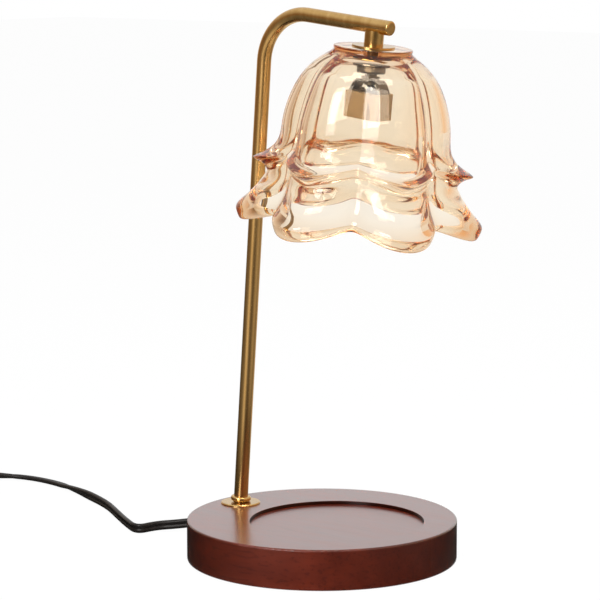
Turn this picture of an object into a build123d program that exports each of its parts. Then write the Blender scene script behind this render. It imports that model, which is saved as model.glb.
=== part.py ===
"""Candle warmer: a round wooden base with a seat for a candle, one bent brass tube that rises from it and
reaches out over the candle, and a two-tier glass flower shade with a lamp socket that hangs from the tube.
A flat twin cord leaves the back of the base, passes a thumb-wheel dimmer and is put away in a tied coil.
Lengths are in millimetres, Z is up, the origin is the middle of the base where it stands, and the arm
points along +X."""
import os
from math import atan2, cos, hypot, pi, radians, sin, tan

from build123d import *

os.makedirs("parts", exist_ok=True)

# General allowances
overrun = 2.0              # how far a cut runs past the face that it leaves
fit_gap = 0.15             # all-round gap of a piece that is pushed over another
running_gap = 0.05         # radial gap of a turning shaft

# Wooden base
base_diameter = 150.0
base_height = 22.6         # top face above the table
base_top_round = 1.0
base_bottom_round = 0.6
pad_thickness = 1.2
pad_inset = 3.0            # pad edge inside the base edge
pad_recess = 0.8           # how deep the pad is let into the wood
pad_room = 0.3             # gap round the pad's edge
seat_diameter = 96.6       # round seat for the candle jar
seat_offset = 10.5         # seat centre in front of the base centre
seat_depth = 1.9
clamp_web = 5.0            # wood left between the foot flange and the clamp washer
clamp_pocket_diameter = 22.0
wiring_pocket_length = 54.0
wiring_pocket_width = 31.0
wiring_pocket_height = 10.0
exit_azimuth = 173.0       # degrees, where the cord leaves the edge of the base
exit_height = 8.0          # cord hole above the table

# Stem and arm, one bent tube
stem_inset = 15.7          # stem foot inside the edge of the base
stem_lean = 4.2            # degrees, towards the candle
stem_length = 281.6        # foot to the corner of the stem and arm lines
arm_droop = 6.0            # degrees below level
arm_reach = 75.3           # corner to the neck axis
arm_overhang = 11.0        # neck axis to the end of the cap
bend_radius = 28.0
tube_diameter = 8.0
tube_wall = 0.7
tail_length = 1.0          # tube left below the clamp nut

# Fittings at the foot of the stem
flange_diameter = 22.5
flange_thickness = 1.0
collar_diameter = 11.4
collar_height = 2.8
collar_round = 1.1
collar_lift = 0.5          # collar above the flange on the stem axis, which leaves room for the lean
washer_diameter = 18.0
washer_thickness = 1.2
clamp_nut_across_flats = 13.0
clamp_nut_height = 4.0

# End cap of the arm
cap_thickness = 2.0
cap_round = 1.0
cap_plug_length = 4.0

# Neck, from the arm axis down
nipple_diameter = 6.0
nipple_bore = 4.4
nipple_top = 1.0           # nipple top below the arm axis
nipple_length = 30.5
sleeve_diameter = 10.5
sleeve_top = 2.4           # top of the saddle horns below the arm axis
sleeve_bottom = 10.4
shade_washer_diameter = 23.2
shade_washer_thickness = 0.8
gasket_diameter = 20.0
gasket_thickness = 1.0
lower_washer_diameter = 18.0
lower_washer_thickness = 0.8
shade_nut_diameter = 15.0
shade_nut_height = 3.5
shade_nut_chamfer = 0.5
lock_nut_across_flats = 9.0
lock_nut_height = 2.5

# Glass shade: each level has its fall below the level above it, a radius at a petal's middle and one at a crease
petal_count = 6
shade_turn = 33.5          # degrees from the arm direction to a petal's middle
glass_hole_diameter = 6.8
glass_ceiling = 6.0        # glass under the clamp
rim_disc_radius = 21.3
rim_disc_thickness = 4.0
rim_disc_round = 1.0
groove_radius = 20.4
groove_drop = 4.6          # below the top face
shoulder_fall = 3.7
shoulder_petal = 29.0
shoulder_crease = 27.4
crown_fall = 6.7
crown_petal = 35.5
crown_crease = 32.6
belly_fall = 12.5
belly_petal = 41.9
belly_crease = 37.4
waist_fall = 16.5
waist_petal = 45.7
waist_crease = 40.8
lip_petal_fall = 20.1      # pointed lip of the upper tier
lip_petal = 59.0
lip_crease_fall = 8.5
lip_crease = 42.6
lip_edge = 1.1             # thickness of the pointed lip at its tip
flare_share = 0.42         # part of the way from the waist to the lip where the flare starts
flare_sweep_share = 0.2    # part of the waist to lip growth that is reached there
root_petal_fall = 6.9      # where the lower tier starts under the lip
root_petal = 51.2
root_crease_fall = 10.5
root_crease = 43.0
skirt_petal_fall = 9.5
skirt_petal = 57.2
skirt_crease_fall = 15.0
skirt_crease = 45.6
rim_petal_fall = 9.8       # outer edge of the lower tier
rim_petal = 67.0
rim_crease_fall = 10.0
rim_crease = 50.0
hem_petal_fall = 6.7       # lowest edge
hem_petal = 63.6
hem_crease_fall = 4.0
hem_crease = 48.6
glass_wall = 4.2           # wall of the dome and skirt, measured along the radius
ceiling_inset = 8.4        # edge of the flat ceiling inside the shoulder
hem_wall = 3.6             # from the lowest point of the rim to its inner edge, along the radius
hem_rise = 2.0             # inner edge of the rim above its lowest point
station_shares = (-1.0, -0.5, 0.0, 0.5, 1.0)
dome_shares = (0.0, 0.127, 0.252, 0.441, 0.668, 0.787, 1.0)      # levels along the dome's outside
skirt_shares = (0.0, 0.446, 1.0)                                 # levels along the lower tier's outside
inside_shares = (0.0, 0.161, 0.273, 0.55, 0.719, 0.86, 1.0)      # levels along the inside, from the rim up

# Lamp socket and its bracket
bracket_drop = 26.0        # bracket plate below the arm axis
bracket_thickness = 1.2
bracket_width = 8.6
bracket_inset = 1.2        # legs inside the ends of the socket
bracket_plate_length = 11.0
bracket_foot_length = 7.0
socket_length = 23.5
socket_width = 14.5
socket_height = 13.2
socket_drop = 36.4         # socket top below the arm axis
socket_round = 2.0
pin_spacing = 10.0
pin_hole_diameter = 5.6
pin_slot_width = 3.0
pin_slot_angle = 22.0
pin_hole_depth = 8.0
contact_thickness = 0.8
lead_diameter = 1.8
lead_spacing = 2.1
lead_spread = 5.0          # distance of the two leads where they enter the socket
lead_entry_depth = 3.0
lead_start = 12.0          # leads begin that far before the neck axis, in the arm
lead_bend = 2.2
wire_sides = 8             # sides of the round wires' sections
socket_screw_diameter = 2.0
socket_screw_head_diameter = 3.6
socket_screw_head_height = 1.2
screw_place_share = 0.68   # screw along a foot, from the leg

# Cord in the base and tube
inner_cord_diameter = 4.6
inner_cord_height = 6.0    # above the table, in the wiring pocket
inner_cord_bend = 6.0

# Flat twin cord
cord_width = 5.5
cord_thickness = 2.8
cord_corner = 0.8
cord_inside = 5.5          # cord inside the edge of the base
grommet_diameter = 8.6
grommet_flange_diameter = 12.0
grommet_flange_thickness = 1.5
grommet_seat_depth = 0.6   # flat spot on the round edge of the base
grommet_length = 4.0

# Free routes of the cord; their first and last points come from the grommet, dimmer, coil and plug
run_points = [
    (-86.5, 10.0, 7.6), (-96.5, 5.5, 6.0), (-103.5, -4.5, 4.4), (-109.5, -15.5, 3.2), (-115.5, -26.0, 2.8),
    (-134.5, -16.8, 2.8), (-153.5, -4.0, 2.8), (-173.5, 8.6, 2.8), (-196.5, 19.6, 2.8), (-222.0, 29.6, 2.8),
    (-249.0, 36.6, 2.8), (-271.5, 35.4, 2.8), (-289.5, 26.0, 3.8), (-302.0, 12.0, 6.4),
]
link_points = [
    (-338.5, -74.0, 6.8), (-337.0, -87.0, 4.4), (-326.0, -98.0, 3.2), (-310.0, -104.0, 3.0),
    (-292.0, -105.0, 3.4),
]

# Put-away coil: the cord stands on edge and spirals in, climbs once and spirals out
coil_centre_x = -250.0
coil_start_y = -103.0
coil_outer_radius = 35.0
coil_gap = 0.7             # between turns and between the two layers
coil_half_turns_in = 5
coil_half_turns_out = 6
tie_thickness = 0.8
tie_width = 6.0
tie_gap = 1.0              # beside the turns
tie_floor_gap = 0.3        # below and above the turns

# Dimmer on the cord
dimmer_x = -322.6
dimmer_y = -33.7
dimmer_heading = -112.0    # degrees, the way from the base to the plug
dimmer_length = 62.0
dimmer_width = 26.0
dimmer_height = 20.0
dimmer_split = 8.0         # height of the joint between the shells, and of the cord
dimmer_wall = 1.8
dimmer_round = 4.0
dimmer_foot_round = 1.5
cord_entry_depth = 5.0
wheel_radius = 9.6
wheel_thickness = 5.5
wheel_height = 12.5        # wheel axis above the table
wheel_slot_gap = 0.6
wheel_notch_count = 28
wheel_notch_radius = 0.55
wheel_shaft_diameter = 3.2
bearing_thickness = 2.5
bearing_width = 7.0
bearing_gap = 0.4
pot_length = 11.0
pot_thickness = 3.6
pot_height = 9.5
shell_screw_spacing = 36.0
shell_screw_diameter = 2.6
shell_screw_head_diameter = 4.8
shell_screw_head_height = 1.6
shell_boss_diameter = 6.0
shell_screw_bite = 7.0     # screw in the boss of the upper shell

# Plug
plug_x = -213.5
plug_y = -102.4
plug_heading = 3.0         # degrees
plug_length = 30.0
plug_rear_width = 11.0
plug_rear_height = 9.0
plug_face_width = 25.0
plug_face_height = 14.6
plug_corner = 2.5
plug_cord_depth = 4.0
blade_spacing = 12.7
blade_length = 16.0
blade_width = 6.35
blade_thickness = 1.5
blade_root = 6.0
blade_tip = 0.6

# Places worked out from the sizes
lean = radians(stem_lean)
droop = radians(arm_droop)
stem_dir = Vector(sin(lean), 0, cos(lean))
arm_dir = Vector(cos(droop), 0, -sin(droop))
head_dir = Vector(sin(droop), 0, cos(droop))
base_radius = base_diameter / 2
stem_offset = base_radius - stem_inset
stem_foot = Vector(-stem_offset, 0, base_height)
stem_plane = Plane(origin=stem_foot, x_dir=(cos(lean), 0, -sin(lean)), z_dir=stem_dir)
corner = stem_foot + stem_dir * stem_length
neck_point = corner + arm_dir * arm_reach
head_plane = Plane(origin=neck_point, x_dir=arm_dir, z_dir=head_dir)
arm_plane = Plane(origin=neck_point, x_dir=(0, 1, 0), z_dir=arm_dir)

tube_radius = tube_diameter / 2
tube_bore = tube_radius - tube_wall
base_bottom = pad_thickness - pad_recess
seat_floor = base_height - seat_depth
clamp_face = clamp_web
nut_face = clamp_face + washer_thickness
tube_tail = nut_face + clamp_nut_height + tail_length
tube_start = stem_foot - stem_dir * tube_tail
tube_end = neck_point + arm_dir * (arm_overhang - cap_thickness)

exit_dir = Vector(cos(radians(exit_azimuth)), sin(radians(exit_azimuth)), 0)
exit_seat = exit_dir * (base_radius - grommet_seat_depth) + Vector(0, 0, exit_height)
exit_plane = Plane(origin=exit_seat, x_dir=(-exit_dir.Y, exit_dir.X, 0), z_dir=exit_dir)

shoulder_drop = groove_drop + shoulder_fall
crown_drop = shoulder_drop + crown_fall
belly_drop = crown_drop + belly_fall
waist_drop = belly_drop + waist_fall
lip_petal_drop = waist_drop + lip_petal_fall
lip_crease_drop = waist_drop + lip_crease_fall
root_petal_drop = lip_petal_drop + root_petal_fall
root_crease_drop = lip_crease_drop + root_crease_fall
skirt_petal_drop = root_petal_drop + skirt_petal_fall
skirt_crease_drop = root_crease_drop + skirt_crease_fall
rim_petal_drop = skirt_petal_drop + rim_petal_fall
rim_crease_drop = skirt_crease_drop + rim_crease_fall
hem_petal_drop = rim_petal_drop + hem_petal_fall
hem_crease_drop = rim_crease_drop + hem_crease_fall
glass_drop = sleeve_bottom + shade_washer_thickness
glass_plane = head_plane.offset(-glass_drop)
gasket_drop = glass_drop + glass_ceiling
lower_washer_drop = gasket_drop + gasket_thickness
shade_nut_drop = lower_washer_drop + lower_washer_thickness

dimmer_dir = Vector(cos(radians(dimmer_heading)), sin(radians(dimmer_heading)), 0)
dimmer_plane = Plane(origin=(dimmer_x, dimmer_y, 0), x_dir=dimmer_dir, z_dir=(0, 0, 1))
plug_dir = Vector(cos(radians(plug_heading)), sin(radians(plug_heading)), 0)
plug_axis_height = plug_face_height / 2
plug_rear = Vector(plug_x, plug_y, plug_axis_height)
plug_plane = Plane(origin=plug_rear, x_dir=(-plug_dir.Y, plug_dir.X, 0), z_dir=plug_dir)


def keep(block, name):
    """Label a finished piece and write it as its own node."""
    block.part.label = name
    export_step(block.part, "parts/" + name + ".step")


def cord_section(plane, width=cord_width, thickness=cord_thickness, corner=cord_corner):
    """The flat cord's section, standing on edge on a plane square to the cord."""
    with BuildSketch(plane) as section:
        Rectangle(thickness, width)
        chamfer(section.vertices(), corner)
    return section.sketch


def across(point, direction):
    """A plane square to the cord at a point, with its second axis as upright as it can be."""
    level = Vector(0, 0, 1).cross(direction).normalized()
    return Plane(origin=point, x_dir=level, z_dir=direction)


def route_radii(points):
    """Largest arcs that a route's runs allow: a share of the shorter run over half the turn's tangent."""
    arc_share = 0.45
    radii = []
    for before, here, after in zip(points, points[1:], points[2:]):
        run_in = here - before
        run_out = after - here
        turn = radians(run_in.get_angle(run_out))
        radii.append(arc_share * min(run_in.length, run_out.length) / tan(turn / 2))
    return radii


def free_cord(name, points):
    """A stretch of cord along straight runs joined by tangent arcs; prints its radii and its volume test."""
    radii = route_radii(points)
    with BuildPart() as cord:
        with BuildLine() as route:
            FilletPolyline(*points, radius=radii)
        section = cord_section(across(points[0], (points[1] - points[0]).normalized()))
        sweep(sections=section, path=route.wires()[0])
    length = route.wires()[0].length
    print(name, "radii", [round(radius, 1) for radius in radii], "length", round(length, 1),
          "volume over section times length", round(cord.part.volume / (section.area * length), 4))
    return cord


# Wooden base: turned disc with the candle seat on top, clamp and wiring pockets below, a hole for the cord
with BuildPart() as wood_base:
    with BuildSketch(Plane.XY.offset(base_bottom)):
        Circle(base_radius)
    extrude(amount=base_height - base_bottom)
    fillet(wood_base.edges().group_by(Axis.Z)[-1], base_top_round)
    fillet(wood_base.edges().group_by(Axis.Z)[0], base_bottom_round)
    with BuildSketch(Plane.XY.offset(seat_floor)):
        with Locations((seat_offset, 0)):
            Circle(seat_diameter / 2)
    extrude(amount=seat_depth + overrun, mode=Mode.SUBTRACT)
    with BuildSketch(Plane.XY.offset(pad_thickness)):
        Circle(base_radius - pad_inset + pad_room)
    extrude(amount=-(pad_thickness + overrun), mode=Mode.SUBTRACT)
    with BuildSketch(stem_plane.offset(-clamp_face)):
        Circle(clamp_pocket_diameter / 2)
    extrude(amount=-(base_height + overrun), mode=Mode.SUBTRACT)
    with BuildSketch(stem_plane.offset(overrun)):
        Circle(tube_radius + fit_gap)
    extrude(amount=-(base_height + overrun), mode=Mode.SUBTRACT)
    with BuildSketch(Plane.XY.offset(pad_thickness - overrun)):
        with Locations((wiring_pocket_length / 2 - stem_offset - clamp_pocket_diameter / 2, 0)):
            SlotOverall(wiring_pocket_length, wiring_pocket_width)
    extrude(amount=wiring_pocket_height + overrun, mode=Mode.SUBTRACT)
    with BuildSketch(exit_plane):
        Circle(grommet_flange_diameter / 2 + fit_gap)
    extrude(amount=grommet_seat_depth + overrun, mode=Mode.SUBTRACT)
    with BuildSketch(exit_plane):
        Circle(grommet_diameter / 2 + fit_gap)
    extrude(amount=-clamp_pocket_diameter, mode=Mode.SUBTRACT)
keep(wood_base, "wood_base")

# Soft pad glued under the base, which also closes the wiring pocket
with BuildPart() as base_pad:
    with BuildSketch(Plane.XY):
        Circle(base_radius - pad_inset)
    extrude(amount=pad_thickness)
keep(base_pad, "base_pad")

# Bent brass tube: stem, bend and arm in one, with the neck hole in the underside of the arm
with BuildPart() as stem_tube:
    with BuildLine() as tube_line:
        FilletPolyline(tube_start, corner, tube_end, radius=bend_radius)
    with BuildSketch(Plane(origin=tube_start, x_dir=(0, 1, 0), z_dir=stem_dir)):
        Circle(tube_radius)
        Circle(tube_bore, mode=Mode.SUBTRACT)
    sweep(path=tube_line.wires()[0])
    with BuildSketch(head_plane):
        Circle(nipple_diameter / 2)
    extrude(amount=-(tube_radius + overrun), mode=Mode.SUBTRACT)
keep(stem_tube, "stem_tube")

# Cap that closes the end of the arm
with BuildPart() as arm_end_cap:
    with BuildSketch(arm_plane.offset(arm_overhang - cap_thickness)):
        Circle(tube_radius)
    extrude(amount=cap_thickness)
    fillet(arm_end_cap.edges().filter_by(GeomType.CIRCLE).sort_by(Axis(neck_point, arm_dir))[-1], cap_round)
    with BuildSketch(arm_plane.offset(arm_overhang - cap_thickness)):
        Circle(tube_bore)
    extrude(amount=-cap_plug_length)
keep(arm_end_cap, "arm_end_cap")

# Flat brass flange that lies on the base round the foot of the stem
with BuildPart() as foot_flange:
    with BuildSketch(Plane.XY.offset(base_height)):
        with Locations((-stem_offset, 0)):
            Circle(flange_diameter / 2)
            Circle(tube_radius + fit_gap + flange_thickness * tan(lean), mode=Mode.SUBTRACT)
    extrude(amount=flange_thickness)
    chamfer(foot_flange.edges().group_by(Axis.Z)[-1].sort_by(SortBy.LENGTH)[-1], flange_thickness / 2)
keep(foot_flange, "foot_flange")

# Bead collar fixed on the tube just above the flange
with BuildPart() as stem_collar:
    with BuildSketch(stem_plane.offset(flange_thickness + collar_lift)):
        Circle(collar_diameter / 2)
        Circle(tube_radius, mode=Mode.SUBTRACT)
    extrude(amount=collar_height)
    outer_edges = stem_collar.edges().filter_by(GeomType.CIRCLE).sort_by(SortBy.RADIUS)[-2:]
    fillet(outer_edges, collar_round)
keep(stem_collar, "stem_collar")

# Steel washer and hex nut that clamp the tube from inside the base
with BuildPart() as clamp_washer:
    with BuildSketch(stem_plane.offset(-clamp_face)):
        Circle(washer_diameter / 2)
        Circle(tube_radius + fit_gap, mode=Mode.SUBTRACT)
    extrude(amount=-washer_thickness)
keep(clamp_washer, "clamp_washer")

with BuildPart() as clamp_nut:
    with BuildSketch(stem_plane.offset(-nut_face)):
        RegularPolygon(clamp_nut_across_flats / 2, 6, major_radius=False)
        Circle(tube_radius, mode=Mode.SUBTRACT)
    extrude(amount=-clamp_nut_height)
keep(clamp_nut, "clamp_nut")

# Hollow nipple fixed in the arm: it carries everything below
with BuildPart() as neck_nipple:
    with BuildSketch(head_plane.offset(-nipple_top)):
        Circle(nipple_diameter / 2)
        Circle(nipple_bore / 2, mode=Mode.SUBTRACT)
    extrude(amount=-nipple_length)
keep(neck_nipple, "neck_nipple")

# Brass sleeve over the nipple, its top cut to sit on the round of the arm
with BuildPart() as neck_sleeve:
    with BuildSketch(head_plane.offset(-sleeve_top)):
        Circle(sleeve_diameter / 2)
        Circle(nipple_diameter / 2 + fit_gap, mode=Mode.SUBTRACT)
    extrude(amount=sleeve_top - sleeve_bottom)
    with BuildSketch(arm_plane):
        Circle(tube_radius)
    extrude(amount=sleeve_diameter, both=True, mode=Mode.SUBTRACT)
keep(neck_sleeve, "neck_sleeve")


def ring_on_nipple(drop, diameter, thickness):
    """A flat ring on the nipple, its upper face that far below the arm axis."""
    with BuildPart() as ring:
        with BuildSketch(head_plane.offset(-drop)):
            Circle(diameter / 2)
            Circle(nipple_diameter / 2 + fit_gap, mode=Mode.SUBTRACT)
        extrude(amount=-thickness)
    return ring


# Washers and nuts that clamp the glass between the sleeve and the nipple's thread
keep(ring_on_nipple(sleeve_bottom, shade_washer_diameter, shade_washer_thickness), "shade_washer")
keep(ring_on_nipple(gasket_drop, gasket_diameter, gasket_thickness), "shade_gasket")
keep(ring_on_nipple(lower_washer_drop, lower_washer_diameter, lower_washer_thickness), "lower_washer")

with BuildPart() as shade_nut:
    with BuildSketch(head_plane.offset(-shade_nut_drop)):
        Circle(shade_nut_diameter / 2)
        Circle(nipple_diameter / 2, mode=Mode.SUBTRACT)
    extrude(amount=-shade_nut_height)
    rim_edges = shade_nut.edges().filter_by(GeomType.CIRCLE).sort_by(SortBy.RADIUS)[-2:]
    chamfer(rim_edges, shade_nut_chamfer)
keep(shade_nut, "shade_nut")

# Two thin nuts that hold the bracket between them on the end of the nipple
with BuildPart() as bracket_nuts:
    for nut_top in (bracket_drop - lock_nut_height, bracket_drop + bracket_thickness):
        with BuildSketch(head_plane.offset(-nut_top)):
            RegularPolygon(lock_nut_across_flats / 2, 6, major_radius=False)
            Circle(nipple_diameter / 2, mode=Mode.SUBTRACT)
        extrude(amount=-lock_nut_height)
keep(bracket_nuts, "bracket_nuts")


def between(petal, crease, lobe):
    """A value that goes from the crease's to the petal's with the lobe's height, 0 to 1."""
    return crease + (petal - crease) * lobe


def through(places, shares):
    """A smooth curve through places, each at its share of the way, so that all stations divide alike."""
    return Edge.make_spline([Vector(*place) for place in places], parameters=shares)


def petal_station(share):
    """The shade's section at one station of a petal: a crease at share -1 and 1, the middle at 0."""
    turn = share * 180 / petal_count
    lobe = cos(radians(90 * share))
    radial = Vector(cos(radians(turn)), sin(radians(turn)), 0)
    lip = (between(lip_petal, lip_crease, lobe), -between(lip_petal_drop, lip_crease_drop, lobe))
    waist = (between(waist_petal, waist_crease, lobe), -waist_drop)
    flare = (waist[0] + (lip[0] - waist[0]) * flare_sweep_share, waist[1] + (lip[1] - waist[1]) * flare_share)
    root = (between(root_petal, root_crease, lobe), -between(root_petal_drop, root_crease_drop, lobe))
    skirt = (between(skirt_petal, skirt_crease, lobe), -between(skirt_petal_drop, skirt_crease_drop, lobe))
    rim = (between(rim_petal, rim_crease, lobe), -between(rim_petal_drop, rim_crease_drop, lobe))
    hem = (between(hem_petal, hem_crease, lobe), -between(hem_petal_drop, hem_crease_drop, lobe))
    inner_hem = (hem[0] - hem_wall, hem[1] + hem_rise)
    shoulder = (between(shoulder_petal, shoulder_crease, lobe), -shoulder_drop)
    crown = (between(crown_petal, crown_crease, lobe), -crown_drop)
    belly = (between(belly_petal, belly_crease, lobe), -belly_drop)
    inside = [(place[0] - glass_wall, place[1]) for place in (skirt, root, waist, belly, crown)]
    ceiling = (shoulder[0] - ceiling_inset, -glass_ceiling)
    lip_under = (lip[0] - lip_edge / 2, lip[1] - lip_edge)
    with BuildSketch(Plane(origin=(0, 0, 0), x_dir=radial, z_dir=radial.cross(Vector(0, 0, 1)))) as station:
        with BuildLine():
            Polyline((glass_hole_diameter / 2, -glass_ceiling), (glass_hole_diameter / 2, 0),
                     (rim_disc_radius - rim_disc_round, 0), (rim_disc_radius, -rim_disc_round),
                     (rim_disc_radius, rim_disc_round - rim_disc_thickness),
                     (rim_disc_radius - rim_disc_round, -rim_disc_thickness), (groove_radius, -groove_drop))
            add(through([(groove_radius, -groove_drop), shoulder, crown, belly, waist, flare, lip], dome_shares))
            Line(lip, lip_under)
            Line(lip_under, root)
            add(through([root, skirt, rim], skirt_shares))
            Line(rim, hem)
            Line(hem, inner_hem)
            add(through([inner_hem, *inside, ceiling], inside_shares))
            Line(ceiling, (glass_hole_diameter / 2, -glass_ceiling))
        make_face()
    return station.sketch


# One petal of the shade, a loft round the axis through its stations
with BuildPart() as petal:
    loft(sections=[petal_station(share) for share in station_shares])

# Glass shade: six petals in one piece, two tiers, clamped by its disc under the arm
with BuildPart(glass_plane) as glass_shade:
    with PolarLocations(0, petal_count, start_angle=shade_turn):
        add(petal.part)
keep(glass_shade, "glass_shade")

# Steel strap bracket: plate on the nipple, two legs that spread to the ends of the socket, two feet on it
leg_top = bracket_plate_length / 2
leg_foot = socket_length / 2 - bracket_thickness / 2 - bracket_inset
screw_x = leg_foot - bracket_foot_length * screw_place_share
screw_places = [(screw_x, 0), (-screw_x, 0)]
bracket_profile_plane = Plane(origin=neck_point, x_dir=arm_dir, z_dir=(0, -1, 0))
with BuildPart() as socket_bracket:
    with BuildSketch(bracket_profile_plane):
        with BuildLine() as bracket_line:
            Polyline((bracket_foot_length - leg_foot, -socket_drop + bracket_thickness / 2),
                     (-leg_foot, -socket_drop + bracket_thickness / 2),
                     (-leg_top, -bracket_drop - bracket_thickness / 2),
                     (leg_top, -bracket_drop - bracket_thickness / 2),
                     (leg_foot, -socket_drop + bracket_thickness / 2),
                     (leg_foot - bracket_foot_length, -socket_drop + bracket_thickness / 2))
            offset(amount=bracket_thickness / 2, side=Side.BOTH)
        make_face()
    extrude(amount=bracket_width / 2, both=True)
    with BuildSketch(head_plane.offset(-bracket_drop + overrun)):
        Circle(nipple_diameter / 2 + fit_gap)
    extrude(amount=-(bracket_thickness + 2 * overrun), mode=Mode.SUBTRACT)
    with BuildSketch(head_plane.offset(-socket_drop + bracket_thickness + overrun)):
        with Locations(*screw_places):
            Circle(socket_screw_diameter / 2 + fit_gap)
    extrude(amount=-(bracket_thickness + 2 * overrun), mode=Mode.SUBTRACT)
keep(socket_bracket, "socket_bracket")

# Ceramic lamp socket: oblong block, two keyhole slots for twist-in pins below, lead and screw holes above
socket_plane = head_plane.offset(-socket_drop)
lead_places = [(0, lead_spread / 2), (0, -lead_spread / 2)]
with BuildPart() as socket_body:
    with BuildSketch(socket_plane):
        RectangleRounded(socket_length, socket_width, socket_round)
    extrude(amount=-socket_height)
    with BuildSketch(socket_plane.offset(-socket_height)):
        with Locations((pin_spacing / 2, 0), (-pin_spacing / 2, 0)):
            Circle(pin_hole_diameter / 2)
        with BuildLine(mode=Mode.PRIVATE) as slot_arc:
            CenterArc((0, 0), pin_spacing / 2, 0, pin_slot_angle)
        with PolarLocations(0, 2):
            SlotArc(slot_arc.edges()[0], pin_slot_width)
    extrude(amount=pin_hole_depth, mode=Mode.SUBTRACT)
    with BuildSketch(socket_plane):
        with Locations(*screw_places):
            Circle(socket_screw_diameter / 2)
        with Locations(*lead_places):
            Circle(lead_diameter / 2 + fit_gap)
    extrude(amount=-lead_entry_depth, mode=Mode.SUBTRACT)
keep(socket_body, "socket_body")

# Brass contacts at the ends of the pin holes
with BuildPart() as socket_contacts:
    with BuildSketch(socket_plane.offset(pin_hole_depth - socket_height)):
        with Locations((pin_spacing / 2, 0), (-pin_spacing / 2, 0)):
            Circle(pin_hole_diameter / 2 - fit_gap)
    extrude(amount=-contact_thickness)
keep(socket_contacts, "socket_contacts")

# Two screws that hold the bracket's feet on the socket
with BuildPart() as socket_screws:
    with BuildSketch(socket_plane.offset(bracket_thickness)):
        with Locations(*screw_places):
            Circle(socket_screw_head_diameter / 2)
    extrude(amount=socket_screw_head_height)
    with BuildSketch(socket_plane.offset(bracket_thickness)):
        with Locations(*screw_places):
            Circle(socket_screw_diameter / 2)
    extrude(amount=-(bracket_thickness + lead_entry_depth))
keep(socket_screws, "socket_screws")

# Two black leads from the arm, down the nipple and into the socket
with BuildPart() as lamp_leads:
    for side in (1, -1):
        inside_y = side * lead_spacing / 2
        outside_y = side * lead_spread / 2
        lead_line_points = [
            head_plane.from_local_coords(Vector(-lead_start, inside_y, 0)),
            head_plane.from_local_coords(Vector(0, inside_y, 0)),
            head_plane.from_local_coords(Vector(0, inside_y, -(nipple_top + nipple_length))),
            head_plane.from_local_coords(Vector(0, outside_y, (lead_bend - socket_drop))),
            head_plane.from_local_coords(Vector(0, outside_y, -(socket_drop + lead_entry_depth))),
        ]
        with BuildLine() as lead_line:
            FilletPolyline(*lead_line_points, radius=lead_bend)
        with BuildSketch(Plane(origin=lead_line_points[0], x_dir=(0, 1, 0), z_dir=arm_dir)) as lead_section:
            RegularPolygon(lead_diameter / 2, wire_sides)
        sweep(sections=lead_section.sketch, path=lead_line.wires()[0])
keep(lamp_leads, "lamp_leads")

# Cord inside: from the cord hole round the wiring pocket, up the stem and along the arm
inner_start = exit_dir * (base_radius - cord_inside) + Vector(0, 0, exit_height)
pocket_middle = wiring_pocket_length / 2 - stem_offset - clamp_pocket_diameter / 2
loop_y = wiring_pocket_width / 2 - inner_cord_diameter
loop_x = pocket_middle + wiring_pocket_length / 2 - inner_cord_diameter
riser_foot = stem_foot - stem_dir * ((base_height - inner_cord_height) / cos(lean))
inner_points = [
    inner_start,
    inner_start - exit_dir * clamp_pocket_diameter,
    Vector(pocket_middle, loop_y, inner_cord_height),
    Vector(loop_x, loop_y / 2, inner_cord_height),
    Vector(loop_x - inner_cord_bend, -loop_y, inner_cord_height),
    Vector(pocket_middle - inner_cord_bend, -loop_y / 2, inner_cord_height),
    riser_foot,
    corner,
    neck_point - arm_dir * lead_start,
]
inner_radii = [inner_cord_bend] * (len(inner_points) - 3) + [bend_radius]
with BuildPart() as inner_cord:
    with BuildLine() as inner_line:
        FilletPolyline(*inner_points, radius=inner_radii)
    with BuildSketch(across(inner_points[0], (inner_points[1] - inner_points[0]).normalized())):
        RegularPolygon(inner_cord_diameter / 2, wire_sides)
    sweep(path=inner_line.wires()[0])
keep(inner_cord, "inner_cord")

# Rubber grommet in the edge of the base, bored for the flat cord
with BuildPart() as cord_grommet:
    with BuildSketch(exit_plane):
        Circle(grommet_diameter / 2)
    extrude(amount=-grommet_length)
    with BuildSketch(exit_plane):
        Circle(grommet_flange_diameter / 2)
    extrude(amount=grommet_flange_thickness)
    with BuildSketch(exit_plane.offset(grommet_flange_thickness + overrun)):
        Rectangle(cord_thickness + 2 * fit_gap, cord_width + 2 * fit_gap)
    extrude(amount=-(grommet_flange_thickness + grommet_length + 2 * overrun), mode=Mode.SUBTRACT)
keep(cord_grommet, "cord_grommet")

# Free cord from the base to the dimmer
dimmer_entry = dimmer_length / 2 - cord_entry_depth
run_route = [inner_start, exit_seat + exit_dir * (grommet_flange_thickness + overrun)]
run_route += [Vector(*point) for point in run_points]
run_route += [dimmer_plane.from_local_coords(Vector(-dimmer_length / 2 - overrun, 0, dimmer_split)),
              dimmer_plane.from_local_coords(Vector(-dimmer_entry, 0, dimmer_split))]
keep(free_cord("cord_run", run_route), "cord_run")

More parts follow.
